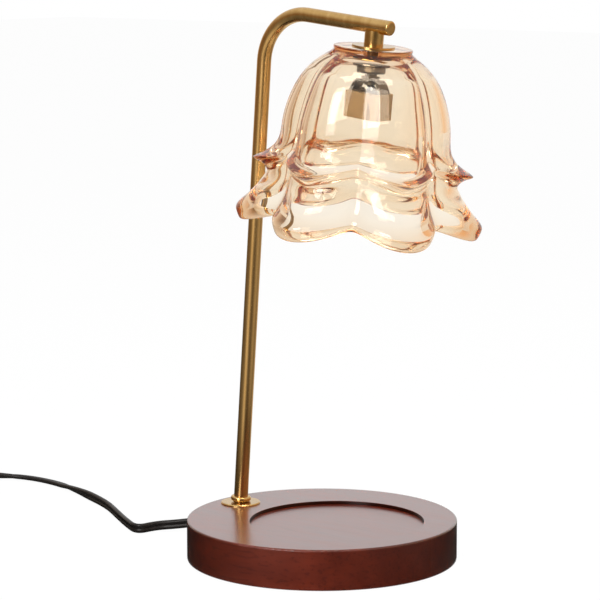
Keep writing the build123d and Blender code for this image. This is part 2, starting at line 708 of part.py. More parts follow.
# Coil of the put-away length: half turns whose radius steps by half a pitch, one of them climbs a layer
coil_pitch = cord_thickness + coil_gap
coil_layer = cord_width + coil_gap
coil_height = tie_thickness + tie_floor_gap + cord_width / 2
coil_radii = [coil_outer_radius - step * coil_pitch / 2 for step in range(coil_half_turns_in + 1)]
coil_radii += [coil_radii[-1] + (step + 1) * coil_pitch / 2 for step in range(coil_half_turns_out)]
coil_points = [Vector(coil_centre_x, coil_start_y, coil_height)]
coil_middles = []
for step, radius in enumerate(coil_radii):
    up = 1 if step % 2 == 0 else -1
    start = coil_points[-1]
    rise = coil_layer if step == coil_half_turns_in else 0
    coil_points.append(start + Vector(0, 2 * up * radius, rise))
    coil_middles.append(start + Vector(up * hypot(radius, rise / 2), up * radius, rise / 2))
climb_lean = atan2(coil_layer, 2 * coil_radii[coil_half_turns_in])   # the climb leans the cord by twice this
straight_end = Vector(cord_width, 0, 0)
coil_entry = coil_points[0] - straight_end
coil_leave = coil_points[-1] + straight_end
with BuildPart() as cord_coil:
    with BuildLine() as coil_line:
        Line(coil_entry, coil_points[0])
        for start, middle, end in zip(coil_points, coil_middles, coil_points[1:]):
            ThreePointArc(start, middle, end)
        Line(coil_points[-1], coil_leave)
    coil_end_plane = Plane(origin=coil_entry, x_dir=(0, cos(climb_lean), sin(climb_lean)), z_dir=(1, 0, 0))
    coil_section = cord_section(coil_end_plane)
    sweep(sections=coil_section, path=coil_line.wires()[0])
keep(cord_coil, "cord_coil")

# Least gap of the coil to itself, measured on points of its middle line that lie over half a turn apart
coil_wire = coil_line.wires()[0]
coil_samples = 720
coil_places = [coil_wire.position_at(step / coil_samples) for step in range(coil_samples + 1)]
half_turn_samples = int(coil_samples * coil_outer_radius * pi / coil_wire.length)
least_gap = coil_wire.length
for first, here in enumerate(coil_places):
    for there in coil_places[first + half_turn_samples:]:
        level_gap = hypot(here.X - there.X, here.Y - there.Y) - cord_thickness
        height_gap = abs(here.Z - there.Z) - cord_width
        least_gap = min(least_gap, max(level_gap, height_gap))
coil_volume_ratio = cord_coil.part.volume / (coil_section.area * coil_wire.length)
print("cord_coil length", round(coil_wire.length, 1), "least gap to itself", round(least_gap, 2),
      "volume over section times length", round(coil_volume_ratio, 4))

# Tie that holds the turns together
tie_inner = coil_radii[coil_half_turns_in - 1] - cord_thickness / 2 - tie_gap
tie_outer = coil_outer_radius + cord_thickness / 2 + tie_gap
tie_opening = cord_width + coil_layer + 2 * tie_floor_gap
tie_level = coil_start_y + coil_outer_radius + coil_pitch / 2
tie_span = tie_outer - tie_inner
tie_plane = Plane(origin=(coil_centre_x, tie_level - tie_width / 2, 0), x_dir=(1, 0, 0), z_dir=(0, 1, 0))
with BuildPart() as cord_tie:
    with BuildSketch(tie_plane):
        with Locations(((tie_inner + tie_outer) / 2, -(tie_thickness + tie_opening / 2))):
            RectangleRounded(tie_span + 2 * tie_thickness, tie_opening + 2 * tie_thickness, tie_thickness)
            Rectangle(tie_span, tie_opening, mode=Mode.SUBTRACT)
    extrude(amount=tie_width)
keep(cord_tie, "cord_tie")

# Cord from the dimmer to the coil, and from the coil to the plug
link_route = [dimmer_plane.from_local_coords(Vector(dimmer_entry, 0, dimmer_split)),
              dimmer_plane.from_local_coords(Vector(dimmer_length / 2 + overrun, 0, dimmer_split))]
link_route += [Vector(*point) for point in link_points] + [coil_entry - 3 * straight_end, coil_entry]
keep(free_cord("cord_link", link_route), "cord_link")
tail_route = [coil_leave, coil_leave + 2 * straight_end, plug_rear - plug_dir * 2 * cord_width,
              plug_rear + plug_dir * plug_cord_depth]
keep(free_cord("cord_tail", tail_route), "cord_tail")

# Dimmer shells: an oblong housing split at the cord's height, with half bearings for the wheel shaft
bearing_place = wheel_thickness / 2 + bearing_gap + bearing_thickness / 2
shaft_length = 2 * (bearing_place + bearing_thickness / 2) + pot_thickness
inner_length = dimmer_length - 2 * dimmer_wall
inner_width = dimmer_width - 2 * dimmer_wall
floor_plane = dimmer_plane.offset(dimmer_wall)
split_plane = dimmer_plane.offset(dimmer_split)
shaft_plane = Plane(origin=dimmer_plane.from_local_coords(Vector(0, 0, wheel_height)),
                    x_dir=dimmer_dir, z_dir=dimmer_plane.y_dir)
boss_places = [(shell_screw_spacing / 2, 0), (-shell_screw_spacing / 2, 0)]
bearing_places = [(0, bearing_place), (0, -bearing_place)]
with BuildSketch(Plane(origin=split_plane.origin, x_dir=dimmer_plane.y_dir, z_dir=dimmer_dir)) as cord_hole:
    Rectangle(cord_thickness + 2 * fit_gap, cord_width + 2 * fit_gap)

with BuildPart() as dimmer_lower_shell:
    with BuildSketch(dimmer_plane):
        SlotOverall(dimmer_length, dimmer_width)
    extrude(amount=dimmer_split)
    fillet(dimmer_lower_shell.edges().group_by(Axis.Z)[0], dimmer_foot_round)
    with BuildSketch(floor_plane):
        SlotOverall(inner_length, inner_width)
    extrude(amount=dimmer_split, mode=Mode.SUBTRACT)
    with BuildSketch(floor_plane):
        with Locations(*boss_places):
            Circle(shell_boss_diameter / 2)
    extrude(amount=(dimmer_split - dimmer_wall) / 2)
    extrude(cord_hole.sketch, amount=dimmer_length, both=True, mode=Mode.SUBTRACT)
    with BuildSketch(floor_plane):
        with Locations(*bearing_places):
            Rectangle(bearing_width, bearing_thickness)
    extrude(amount=wheel_height - dimmer_wall)
    with BuildSketch(shaft_plane):
        Circle(wheel_shaft_diameter / 2 + running_gap)
    extrude(amount=dimmer_width / 2 - dimmer_wall, both=True, mode=Mode.SUBTRACT)
    with BuildSketch(dimmer_plane):
        with Locations(*boss_places):
            Circle(shell_screw_head_diameter / 2 + fit_gap)
    extrude(amount=shell_screw_head_height, mode=Mode.SUBTRACT)
    with BuildSketch(dimmer_plane):
        with Locations(*boss_places):
            Circle(shell_screw_diameter / 2 + fit_gap)
    extrude(amount=dimmer_split, mode=Mode.SUBTRACT)
keep(dimmer_lower_shell, "dimmer_lower_shell")

with BuildPart() as dimmer_upper_shell:
    with BuildSketch(split_plane):
        SlotOverall(dimmer_length, dimmer_width)
    extrude(amount=dimmer_height - dimmer_split)
    fillet(dimmer_upper_shell.edges().group_by(Axis.Z)[-1], dimmer_round)
    with BuildSketch(split_plane):
        SlotOverall(inner_length, inner_width)
    extrude(amount=dimmer_height - dimmer_split - dimmer_wall, mode=Mode.SUBTRACT)
    with BuildSketch(split_plane.offset((dimmer_wall - dimmer_split) / 2)):
        with Locations(*boss_places):
            Circle(shell_boss_diameter / 2)
    extrude(amount=dimmer_height - dimmer_wall / 2 - dimmer_split - (dimmer_wall - dimmer_split) / 2)
    with BuildSketch(dimmer_plane.offset(wheel_height)):
        with Locations(*bearing_places):
            Rectangle(bearing_width, bearing_thickness)
    extrude(amount=dimmer_height - dimmer_wall / 2 - wheel_height)
    extrude(cord_hole.sketch, amount=dimmer_length, both=True, mode=Mode.SUBTRACT)
    with BuildSketch(shaft_plane):
        Circle(wheel_shaft_diameter / 2 + running_gap)
    extrude(amount=dimmer_width / 2 - dimmer_wall, both=True, mode=Mode.SUBTRACT)
    with BuildSketch(shaft_plane):
        Circle(wheel_radius + wheel_slot_gap)
    extrude(amount=wheel_thickness / 2 + bearing_gap, both=True, mode=Mode.SUBTRACT)
    with BuildSketch(split_plane.offset((dimmer_wall - dimmer_split) / 2)):
        with Locations(*boss_places):
            Circle(shell_screw_diameter / 2)
    extrude(amount=shell_screw_bite, mode=Mode.SUBTRACT)
keep(dimmer_upper_shell, "dimmer_upper_shell")

# Thumb wheel with a notched edge, fast on its shaft
with BuildPart() as dimmer_wheel:
    with BuildSketch(shaft_plane):
        Circle(wheel_radius)
        Circle(wheel_shaft_diameter / 2, mode=Mode.SUBTRACT)
        with PolarLocations(wheel_radius, wheel_notch_count):
            Circle(wheel_notch_radius, mode=Mode.SUBTRACT)
    extrude(amount=wheel_thickness / 2, both=True)
keep(dimmer_wheel, "dimmer_wheel")

with BuildPart() as wheel_shaft:
    with BuildSketch(shaft_plane.offset(-(bearing_place + bearing_thickness / 2))):
        Circle(wheel_shaft_diameter / 2)
    extrude(amount=shaft_length)
keep(wheel_shaft, "wheel_shaft")

# Potentiometer that the shaft turns, standing on the floor of the lower shell
with BuildPart() as dimmer_pot:
    with BuildSketch(floor_plane):
        with Locations((0, bearing_place + bearing_thickness / 2 + bearing_gap + pot_thickness / 2)):
            Rectangle(pot_length, pot_thickness)
    extrude(amount=wheel_height - dimmer_wall + pot_height / 2)
    with BuildSketch(shaft_plane):
        Circle(wheel_shaft_diameter / 2 + running_gap)
    extrude(amount=dimmer_width, mode=Mode.SUBTRACT)
keep(dimmer_pot, "dimmer_pot")

# Two screws from below that hold the shells together
with BuildPart() as shell_screws:
    with BuildSketch(dimmer_plane.offset(shell_screw_head_height)):
        with Locations(*boss_places):
            Circle(shell_screw_head_diameter / 2)
    extrude(amount=-shell_screw_head_height / 2)
    with BuildSketch(dimmer_plane.offset(shell_screw_head_height)):
        with Locations(*boss_places):
            Circle(shell_screw_diameter / 2)
    extrude(amount=(dimmer_split + dimmer_wall) / 2 - shell_screw_head_height + shell_screw_bite)
keep(shell_screws, "shell_screws")

# Moulded plug, wider at its face, and its two flat blades
with BuildPart() as plug_body:
    with BuildSketch(plug_plane):
        RectangleRounded(plug_rear_width, plug_rear_height, plug_corner)
    with BuildSketch(plug_plane.offset(plug_length / 2)):
        RectangleRounded(plug_face_width, plug_face_height, plug_corner)
    loft()
    with BuildSketch(plug_plane.offset(plug_length / 2)):
        RectangleRounded(plug_face_width, plug_face_height, plug_corner)
    extrude(amount=plug_length / 2)
    with BuildSketch(plug_plane):
        Rectangle(cord_thickness + 2 * fit_gap, cord_width + 2 * fit_gap)
    extrude(amount=plug_cord_depth, mode=Mode.SUBTRACT)
    with BuildSketch(plug_plane.offset(plug_length)):
        with Locations((blade_spacing / 2, 0), (-blade_spacing / 2, 0)):
            Rectangle(blade_thickness, blade_width)
    extrude(amount=-blade_root, mode=Mode.SUBTRACT)
keep(plug_body, "plug_body")

with BuildPart() as plug_blades:
    with BuildSketch(plug_plane.offset(plug_length - blade_root)):
        with Locations((blade_spacing / 2, 0), (-blade_spacing / 2, 0)):
            Rectangle(blade_thickness, blade_width)
    extrude(amount=blade_root + blade_length)
    blade_ends = plug_blades.faces().sort_by(Axis(plug_rear, plug_dir))[-2:]
    chamfer(blade_ends.edges().sort_by(SortBy.LENGTH)[:4], blade_tip)
keep(plug_blades, "plug_blades")
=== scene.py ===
# %% [markdown]
# # A candle warmer with a glass flower shade
#
# The lamp is a turned wooden base, one bent brass tube and a thick shade of pressed amber glass. The packed
# CAD model is loaded as a fixed frame. Its hard pieces stay and only get finishes, while the glass, the cord
# and the leads are made again as fine surfaces, because their smooth forms carry the look.

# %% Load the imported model
from math import cos, radians, sin

import bpy
import numpy as np
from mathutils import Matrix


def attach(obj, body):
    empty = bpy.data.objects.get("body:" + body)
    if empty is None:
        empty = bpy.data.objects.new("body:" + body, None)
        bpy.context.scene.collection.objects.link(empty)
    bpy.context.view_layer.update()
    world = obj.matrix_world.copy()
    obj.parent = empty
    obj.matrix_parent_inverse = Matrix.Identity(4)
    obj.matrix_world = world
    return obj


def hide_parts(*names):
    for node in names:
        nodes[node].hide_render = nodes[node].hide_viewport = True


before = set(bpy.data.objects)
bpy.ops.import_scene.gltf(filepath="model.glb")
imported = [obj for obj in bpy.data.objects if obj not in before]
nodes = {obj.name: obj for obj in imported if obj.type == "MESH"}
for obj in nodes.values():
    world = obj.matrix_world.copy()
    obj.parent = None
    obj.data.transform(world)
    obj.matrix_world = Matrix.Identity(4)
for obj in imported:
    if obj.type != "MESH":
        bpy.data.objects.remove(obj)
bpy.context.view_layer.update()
scene = bpy.context.scene
MM = 0.001

# %% [markdown]
# ## Camera
#
# A photograph of a product is taken from a few steps away with a long lens, so that it shows little
# perspective. The camera is set by its direction round the lamp, its height and its distance, and the lens
# and a small shift then frame the lamp as the picture does.

# %% Place the camera
camera_turn = radians(38.582)
camera_rise = radians(8.169)
camera_distance = 1.4
camera_target = np.array([0.0, 0.0, 0.150])


def direction(turn, rise):
    """Unit vector that points at a place round the lamp: turned from -Y towards +X, then raised."""
    return np.array([sin(turn) * cos(rise), -cos(turn) * cos(rise), sin(rise)])


camera_data = bpy.data.cameras.new("product_camera")
camera_data.sensor_width = 36.0
camera_data.lens = 153.041
camera_data.shift_x = -0.036573
camera_data.shift_y = -0.015357
camera = bpy.data.objects.new("product_camera", camera_data)
camera.location = camera_target + camera_distance * direction(camera_turn, camera_rise)
camera.rotation_euler = (radians(90) - camera_rise, 0, camera_turn)
scene.collection.objects.link(camera)
scene.camera = camera
print("camera at", list(camera.location))

# %% [markdown]
# ## Surfaces from grids
#
# Every new piece here is a grid of points, worked out with numpy as one array. Each cell of the grid becomes
# one four-sided face. Each row closes by joining its last column to its first. A tube's two ends get a middle
# point and a fan of triangles, so that no hole is left.

# %% A mesh from a grid of points
def grid_mesh(name, points, loop=False):
    """Mesh over points[row, column]: cells join neighbours, the last column joins the first, a loop also joins the
    last row to the first, and without a loop both ends are closed by a fan."""
    rows, columns = points.shape[:2]
    row, column = np.meshgrid(np.arange(rows if loop else rows - 1), np.arange(columns), indexing="ij")
    after, beside = (row + 1) % rows, (column + 1) % columns
    cells = np.stack([row * columns + column, row * columns + beside, after * columns + beside,
                      after * columns + column], axis=-1).reshape(-1, 4)
    vertices, fans = points.reshape(-1, 3), np.zeros((0, 3), int)
    if not loop:
        middles = np.stack([points[0].mean(0), points[-1].mean(0)])
        first, here = len(vertices), np.arange(columns)
        there, last = (here + 1) % columns, (rows - 1) * columns
        fans = np.concatenate([np.stack([there, here, np.full(columns, first)], axis=-1),
                               np.stack([last + here, last + there, np.full(columns, first + 1)], axis=-1)])
        vertices = np.concatenate([vertices, middles])
    mesh = bpy.data.meshes.new(name)
    mesh.from_pydata(vertices, [], [*cells.tolist(), *fans.tolist()])
    mesh.polygons.foreach_set("use_smooth", np.ones(len(mesh.polygons), bool))
    if signed_volume(mesh) < 0:
        mesh.flip_normals()
    mesh.update()
    return mesh


def signed_volume(mesh):
    """A sixth of the sum of the products that each triangle spans with the origin: positive if faces look out."""
    mesh.calc_loop_triangles()
    corners = np.zeros(len(mesh.loop_triangles) * 3, np.int32)
    mesh.loop_triangles.foreach_get("vertices", corners)
    places = np.zeros(len(mesh.vertices) * 3)
    mesh.vertices.foreach_get("co", places)
    a, b, c = places.reshape(-1, 3)[corners.reshape(-1, 3)].transpose(1, 0, 2)
    return float((a * np.cross(b, c)).sum() / 6)


def new_piece(name, mesh, body, slot):
    """An object at the origin that shows the mesh and moves with the body; the slot is not used."""
    piece = bpy.data.objects.new(name, mesh)
    scene.collection.objects.link(piece)
    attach(piece, body)
    return piece


print("functions for surfaces:", grid_mesh.__name__, signed_volume.__name__, new_piece.__name__)

# %% [markdown]
# ## The flat twin cord
#
# Two insulated wires lie side by side in one black jacket, so the cord is twice as wide as it is thick and
# has a groove along the middle of both faces. Its line is a smooth curve that control points pull along, and
# the section is carried along that line. A curve with a round bevel could not show the groove or the way the
# cord turns from its edge onto its flat side, so the section is swept as a surface.

# %% The line and the section of a cord
cord_width, cord_thickness = 5.5 * MM, 2.8 * MM
web_share = 0.66            # half thickness of the web between the wires, as a share of a wire's radius
section_points = 36


def smooth_line(controls, steps):
    """Points along the spline of order three that the control points pull towards them."""
    curve = bpy.data.curves.new("route", "CURVE")
    curve.dimensions = "3D"
    spline = curve.splines.new("NURBS")
    spline.points.add(len(controls) - 1)
    spline.points.foreach_set("co", np.c_[controls, np.ones(len(controls))].ravel())
    spline.order_u = 3
    spline.use_endpoint_u = True
    spline.resolution_u = steps
    holder = bpy.data.objects.new("route", curve)
    scene.collection.objects.link(holder)
    mesh = bpy.data.meshes.new_from_object(holder)
    line = np.zeros(len(mesh.vertices) * 3)
    mesh.vertices.foreach_get("co", line)
    bpy.data.objects.remove(holder)
    bpy.data.curves.remove(curve)
    bpy.data.meshes.remove(mesh)
    return line.reshape(-1, 3)


def twin_section(count):
    """Outline of two round wires in one jacket: across runs from edge to edge by a cosine, and the half height
    there is the wire's circle, but never less than the web between the wires."""
    turn = np.linspace(0, 2 * np.pi, count, endpoint=False)
    across = np.cos(turn) * cord_width / 2
    wire = cord_thickness / 2
    offset = np.abs(across) - (cord_width / 2 - wire)
    circle = np.sqrt(np.clip(wire ** 2 - offset ** 2, 0, None))
    web = np.where(offset < 0, web_share * wire, 0)
    return across, np.sign(np.sin(turn)) * np.maximum(circle, web)


def along(line):
    """Length of the line from its start to each of its points."""
    steps = np.linalg.norm(np.diff(line, axis=0), axis=1)
    return np.concatenate([[0], np.cumsum(steps)])


def sweep_flat(line, roll):
    """Carry the twin section along the line: the wide way is up, turned towards the side by the roll angle."""
    ahead = np.gradient(line, axis=0)
    ahead /= np.linalg.norm(ahead, axis=1)[:, None]
    side = np.cross([0, 0, 1], ahead)
    side /= np.linalg.norm(side, axis=1)[:, None]
    up = np.cross(ahead, side)
    wide = np.cos(roll)[:, None] * up + np.sin(roll)[:, None] * side
    thick = np.cross(wide, ahead)
    across, height = twin_section(section_points)
    return line[:, None] + wide[:, None] * across[:, None] + thick[:, None] * height[:, None]


print("cord section", cord_width, "by", cord_thickness, "m")

# %% [markdown]
# The cord leaves the back of the base on its edge, folds sharply once on the table, runs back past the lamp
# and lies down flat where it leaves the picture. There it enters a small dimmer. The roll angle says how far
# the section has turned from its edge to its flat side, at shares of the cord's length.

# %% The stretch from the base to the dimmer
run_controls = np.array([
    (-68.98, 8.47, 8), (-77.32, 9.49, 8), (-86, 9.4, 7.6), (-93, 4, 6), (-103.5, -4.3, 4.4),
    (-114.4, -11.4, 3.2), (-117.2, -25.1, 2.85), (-134.6, -14.9, 2.85), (-153.5, -2.5, 2.85), (-173.1, 10.6, 2.85),
    (-196.2, 21, 3.0), (-221.3, 31.3, 2.45), (-250.7, 40.4, 1.6), (-273.2, 37.6, 2.2), (-288.4, 22.4, 3.8),
    (-302, 11, 6.4), (-310.24, -3.10, 8), (-312.86, -9.59, 8)]) * MM
run_steps = 12
run_line = smooth_line(run_controls, run_steps)
run_share = along(run_line) / along(run_line)[-1]
roll_shares = (0, 0.53, 0.66, 0.80, 0.93, 1)
roll_degrees = (0, 0, 82, 82, 0, 0)
run_roll = np.radians(np.interp(run_share, roll_shares, roll_degrees))
cord_to_dimmer = new_piece("cord_to_dimmer", grid_mesh("cord_to_dimmer", sweep_flat(run_line, run_roll)),
                           "lamp", "cord_pvc")
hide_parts("cord_run")
print("cord to the dimmer", round(along(run_line)[-1], 4), "m")

# %% [markdown]
# Behind the dimmer the rest of the cord is wound into a neat coil of two layers with a tie, as it comes in
# its box. A coil is a chain of half circles whose radius shrinks towards the middle in the lower layer and
# grows again in the upper one. The control points stand a little outside those circles, because the spline
# runs inside its control points.

# %% The coil and the stretch to the plug
coil_radii = np.array([35, 33.25, 31.5, 29.75, 28, 26.25, 28, 29.75, 31.5, 33.25, 35, 36.75])
coil_middle, coil_start = -250.0, np.array([-103.0, 3.85])
layer_step, climb_turn = 6.2, 5
half_steps, rest_steps = 8, 6


def coil_points():
    """Chain of half circles: each starts where the last one ended, odd ones on the far side, and one of them
    climbs from the lower layer to the upper one."""
    sign = np.where(np.arange(len(coil_radii)) % 2 == 0, 1, -1)
    starts = coil_start[0] + np.concatenate([[0], np.cumsum(2 * sign * coil_radii)])[:-1]
    share = (np.arange(half_steps) + 0.5) / half_steps
    swing = np.pi * share
    # The middle of each span of the spline lies at (6 + 2 cos) / 8 of the radius of its control points
    reach = coil_radii[:, None] * 8 / (6 + 2 * np.cos(np.pi / half_steps))
    x = coil_middle + sign[:, None] * reach * np.sin(swing)
    y = (starts + sign * coil_radii)[:, None] - sign[:, None] * reach * np.cos(swing)
    level = np.arange(len(coil_radii))[:, None] + share
    z = coil_start[1] + layer_step * np.clip(level - climb_turn, 0, 1)
    return np.stack([x, y, z], axis=-1).reshape(-1, 3)


link_controls = [
    (-332.34, -57.81, 8), (-334.96, -64.30, 8), (-338.5, -74, 6.8), (-337, -87, 4.4), (-326, -98, 3.4),
    (-310, -104, 3.2), (-292, -105, 3.5), (-272, -103, 3.85), (-258, -103, 3.85)]
tail_controls = [(-242, -103, 10.05), (-233.5, -103, 9.9), (-224.49, -102.98, 7.3), (-209.5, -102.19, 7.3)]
rest_line = smooth_line(np.concatenate([link_controls, coil_points(), tail_controls]) * MM, rest_steps)
rest_roll = np.zeros(len(rest_line))
cord_to_plug = new_piece("cord_to_plug", grid_mesh("cord_to_plug", sweep_flat(rest_line, rest_roll)),
                         "lamp", "cord_pvc")
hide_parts("cord_link", "cord_coil", "cord_tail")
print("cord to the plug", round(along(rest_line)[-1], 4), "m")

# %% [markdown]
# ## The head: where the shade and the socket hang
#
# The arm droops by six degrees, and all that hangs from it stands square to the arm. So the head has its own
# axes: out along the arm, across it, and up square to it.

# %% Axes of the head
droop = radians(6.0)
head_out = np.array([cos(droop), 0, -sin(droop)])
head_across = np.array([0.0, 1.0, 0.0])
head_up = np.array([sin(droop), 0, cos(droop)])
neck_point = np.array([36.21, 0, 295.574])


def from_head(local):
    """Places given along the head's three axes in millimetres, turned into places of the lamp in metres."""
    return (neck_point + local @ np.stack([head_out, head_across, head_up])) * MM


print("head hangs from", neck_point, "mm")

# %% [markdown]
# ## Glass shade
#
# The shade is pressed in one piece: a domed upper tier with a pointed flaring lip, and a lower tier that
# sweeps out under it, both in six petals with sharp creases between them. It could be sculpted, but every
# section through the axis is the same closed outline with other sizes. So a petal's section and a crease's
# section are written down as levels, and each angle takes its own mix of the two.

# %% Levels of the shade, in millimetres
petals, shade_turn = 6, radians(33.5)
glass_top = 11.2
levels = {                       # petal radius, crease radius, petal drop, crease drop
    "groove": (20.7, 20.5, 2.6, 2.6), "shoulder": (28.7, 26.8, 7.9, 7.9), "crown": (35.5, 32.0, 15.0, 15.0),
    "belly": (41.9, 36.8, 27.5, 27.5), "waist": (45.4, 40.2, 43.0, 43.0), "bell": (47.2, 41.6, 54.3, 53.0),
    "flare": (53.6, 43.4, 61.1, 57.2), "lip": (59.8, 45.6, 64.5, 59.6), "inner_bell": (47.6, 41.6, 58.0, 57.0),
    "inner_flare": (51.6, 43.2, 65.0, 63.0),
    "root": (51.2, 44.0, 71.0, 66.5), "skirt": (57.2, 45.6, 80.5, 78.0), "rim": (67.8, 51.0, 91.4, 88.0),
    "hem": (64.4, 49.2, 99.8, 92.6)}
glass_wall, hem_wall, hem_rise, ceiling_drop, vault_drop, vault_inset = 3.7, 4.8, 1.6, 6.0, 7.0, 8.6
hole_radius, clamp_radius, disc_radius, disc_drop = 3.4, 11.0, 21.3, 1.6
crease_crowding = 0.45      # how much closer together the angles stand near the creases
point_roundness = 0.15      # share of a cosine in the outline of a pointed petal


def petal_angles(count):
    """Share of the way from a petal's middle to its creases, -1 to 1, closer together near the creases, and the
    angle round the axis that belongs to it."""
    even = np.linspace(-1, 1, count, endpoint=False)
    crowded = 1.5 * even - 0.5 * even ** 3
    share = (1 - crease_crowding) * even + crease_crowding * crowded
    turn = shade_turn + (2 * np.arange(petals)[:, None] + share) * np.pi / petals
    return np.tile(share, petals), turn.ravel()


def lobe(share, soft):
    """Height of the petal: a cosine from crease to crease, whose sharp foot is rounded by the soft amount."""
    wave = np.cos(share * np.pi / 2)
    return (np.sqrt(wave ** 2 + soft ** 2) - soft) / (np.sqrt(1 + soft ** 2) - soft)


def pointed(share, soft, foot):
    """Height of a pointed petal: it falls evenly from the middle to the creases, with a rounded point and foot."""
    fall = (np.sqrt(share ** 2 + soft ** 2) - soft) / (np.sqrt(1 + soft ** 2) - soft)
    height = point_roundness * np.cos(share * np.pi / 2) + (1 - point_roundness) * (1 - fall)
    return (np.sqrt(height ** 2 + foot ** 2) - foot) / (np.sqrt(1 + foot ** 2) - foot)


def level(name, height):
    """Radius and height of one level at all angles: the crease's values plus the lobe's share of the difference."""
    petal_r, crease_r, petal_drop, crease_drop = levels[name]
    radius = crease_r + (petal_r - crease_r) * height
    return np.stack([radius, -crease_drop - (petal_drop - crease_drop) * height], axis=-1)


print("levels of the shade:", ", ".join(levels))

# %% [markdown]
# A smooth curve through a few places is a cubic spline. All angles share one set of weights, so the weights
# are solved for once and then multiply the places of all angles together.

# %% Spline weights
def spline_weights(shares, samples):
    """Weights of the natural cubic through places at the given shares: the bends follow from equal slopes on
    both sides of each place, and each sample mixes its two neighbours and their bends."""
    shares, count = np.asarray(shares), len(shares)
    gap, inner = np.diff(shares), np.arange(1, count - 1)
    left, right = np.eye(count), np.zeros((count, count))
    left[inner, inner - 1], left[inner, inner], left[inner, inner + 1] = gap[:-1], 2 * (gap[:-1] + gap[1:]), gap[1:]
    right[inner, inner - 1], right[inner, inner + 1] = 6 / gap[:-1], 6 / gap[1:]
    right[inner, inner] = -6 / gap[:-1] - 6 / gap[1:]
    bends = np.linalg.solve(left, right)
    cell = np.clip(np.searchsorted(shares, samples, side="right") - 1, 0, count - 2)
    before = (shares[cell + 1] - samples) / gap[cell]
    after, rows = 1 - before, np.arange(len(samples))
    weights = np.zeros((len(samples), count))
    weights[rows, cell], weights[rows, cell + 1] = before, after
    scale = gap[cell] ** 2 / 6
    return (weights + (scale * (before ** 3 - before))[:, None] * bends[cell]
            + (scale * (after ** 3 - after))[:, None] * bends[cell + 1])


def curve_through(places, shares, samples):
    """Points of the spline through the places, for all angles at once."""
    return np.tensordot(spline_weights(shares, samples), np.stack(places), axes=1)


def straight(start, end, count):
    """Points on the straight way from start to end, the end left out."""
    share = np.arange(count)[:, None, None] / count
    return start + (end - start) * share


def fixed(radius, height):
    """A place that is the same at all angles."""
    return np.broadcast_to(np.array([radius, height]), (len(turns), 2))


def even(count):
    """Even shares from zero up to one, the one left out."""
    return np.linspace(0, 1, count, endpoint=False)


petal_points = 44
shares, turns = petal_angles(petal_points)
print(len(turns), "angles round the shade")

# %% [markdown]
# The outline of the glass goes once round: up the hole, over the top disc, down the dome to the lip, back
# under the lip, down the lower tier to the hem, and up the inside. Creases are sharp on the outside of the
# dome and softer inside and further down, so each level has a lobe with its own softness.

# %% The closed section
outer_soft, inner_soft, wide_soft, root_soft, point_soft, point_foot = 0.16, 0.24, 0.45, 0.32, 0.05, 0.08
lip_step, hollow_share = np.array([0.5, 1.2]), np.array([0.60, 0.36])
hole_points, top_points, edge_points, groove_points, dome_points, dome_crowding = 4, 16, 8, 3, 56, 1.5
lip_points, hollow_points, skirt_points, rim_points, hem_points, inside_points, vault_points = 4, 18, 30, 14, 8, 70, 8
outer, inner_lobe, wide_lobe = lobe(shares, outer_soft), lobe(shares, inner_soft), lobe(shares, wide_soft)
root_lobe, point = lobe(shares, root_soft), pointed(shares, point_soft, point_foot)
dome_samples = 1 - np.linspace(1, 0, dome_points, endpoint=False) ** dome_crowding
dome_shares = (0, 0.127, 0.252, 0.441, 0.652, 0.803, 0.924, 1)
skirt_shares = (0, 0.446, 1)
inside_shares = (0, 0.183, 0.292, 0.345, 0.429, 0.576, 0.73, 0.866, 1)
lip, root = level("lip", point), level("root", root_lobe)
rim, hem = level("rim", wide_lobe), level("hem", wide_lobe)
waist = level("waist", outer)
bell, flare = level("bell", (outer + point) / 2), level("flare", point)
inner_hem = hem + np.array([-hem_wall, hem_rise])
inside = [level(name, height) - np.array([glass_wall, 0]) for name, height in
          (("skirt", wide_lobe), ("root", root_lobe), ("inner_flare", inner_lobe), ("inner_bell", inner_lobe),
           ("waist", inner_lobe), ("belly", inner_lobe), ("crown", inner_lobe))]
vault = level("shoulder", inner_lobe) * np.array([1, 0]) - np.array([vault_inset, vault_drop])
lip_under = lip - lip_step
hollow = lip_under + (root - lip_under) * hollow_share
groove, shoulder, crown, belly = (level(name, outer) for name in ("groove", "shoulder", "crown", "belly"))
pieces_of_section = [
    straight(fixed(hole_radius, -ceiling_drop), fixed(hole_radius, 0), hole_points),
    straight(fixed(hole_radius, 0), fixed(disc_radius, 0), top_points),
    straight(fixed(disc_radius, 0), fixed(disc_radius, -disc_drop), edge_points),
    straight(fixed(disc_radius, -disc_drop), groove, groove_points),
    curve_through([groove, shoulder, crown, belly, waist, bell, flare, lip], dome_shares, dome_samples),
    straight(lip, lip_under, lip_points),
    curve_through([lip_under, hollow, root], (0, 0.5, 1), even(hollow_points)),
    curve_through([root, level("skirt", wide_lobe), rim], skirt_shares, even(skirt_points)),
    straight(rim, hem, rim_points),
    straight(hem, inner_hem, hem_points),
    curve_through([inner_hem, *inside, vault], inside_shares, even(inside_points)),
    straight(vault, fixed(clamp_radius, -ceiling_drop), vault_points),
    straight(fixed(clamp_radius, -ceiling_drop), fixed(hole_radius, -ceiling_drop), vault_points)]
section = np.concatenate(pieces_of_section)
counts = np.cumsum([0] + [len(part) for part in pieces_of_section])
print("glass section", section.shape)

# %% [markdown]
# Pressed glass has no knife edges: fire polishing rounds them. Averaging each point of the section with its
# neighbours does the same, a few times at the lip and more often at the thick hem.

# %% Round the edges and make the shade
def eased(points, passes):
    """Each pass moves a point halfway to the mean of its neighbours, as long as it has passes left."""
    for turn in range(int(passes.max())):
        mean = (np.roll(points, 1, axis=0) + np.roll(points, -1, axis=0)) / 2
        points = points + 0.5 * (passes > turn)[:, None, None] * (mean - points)
    return points


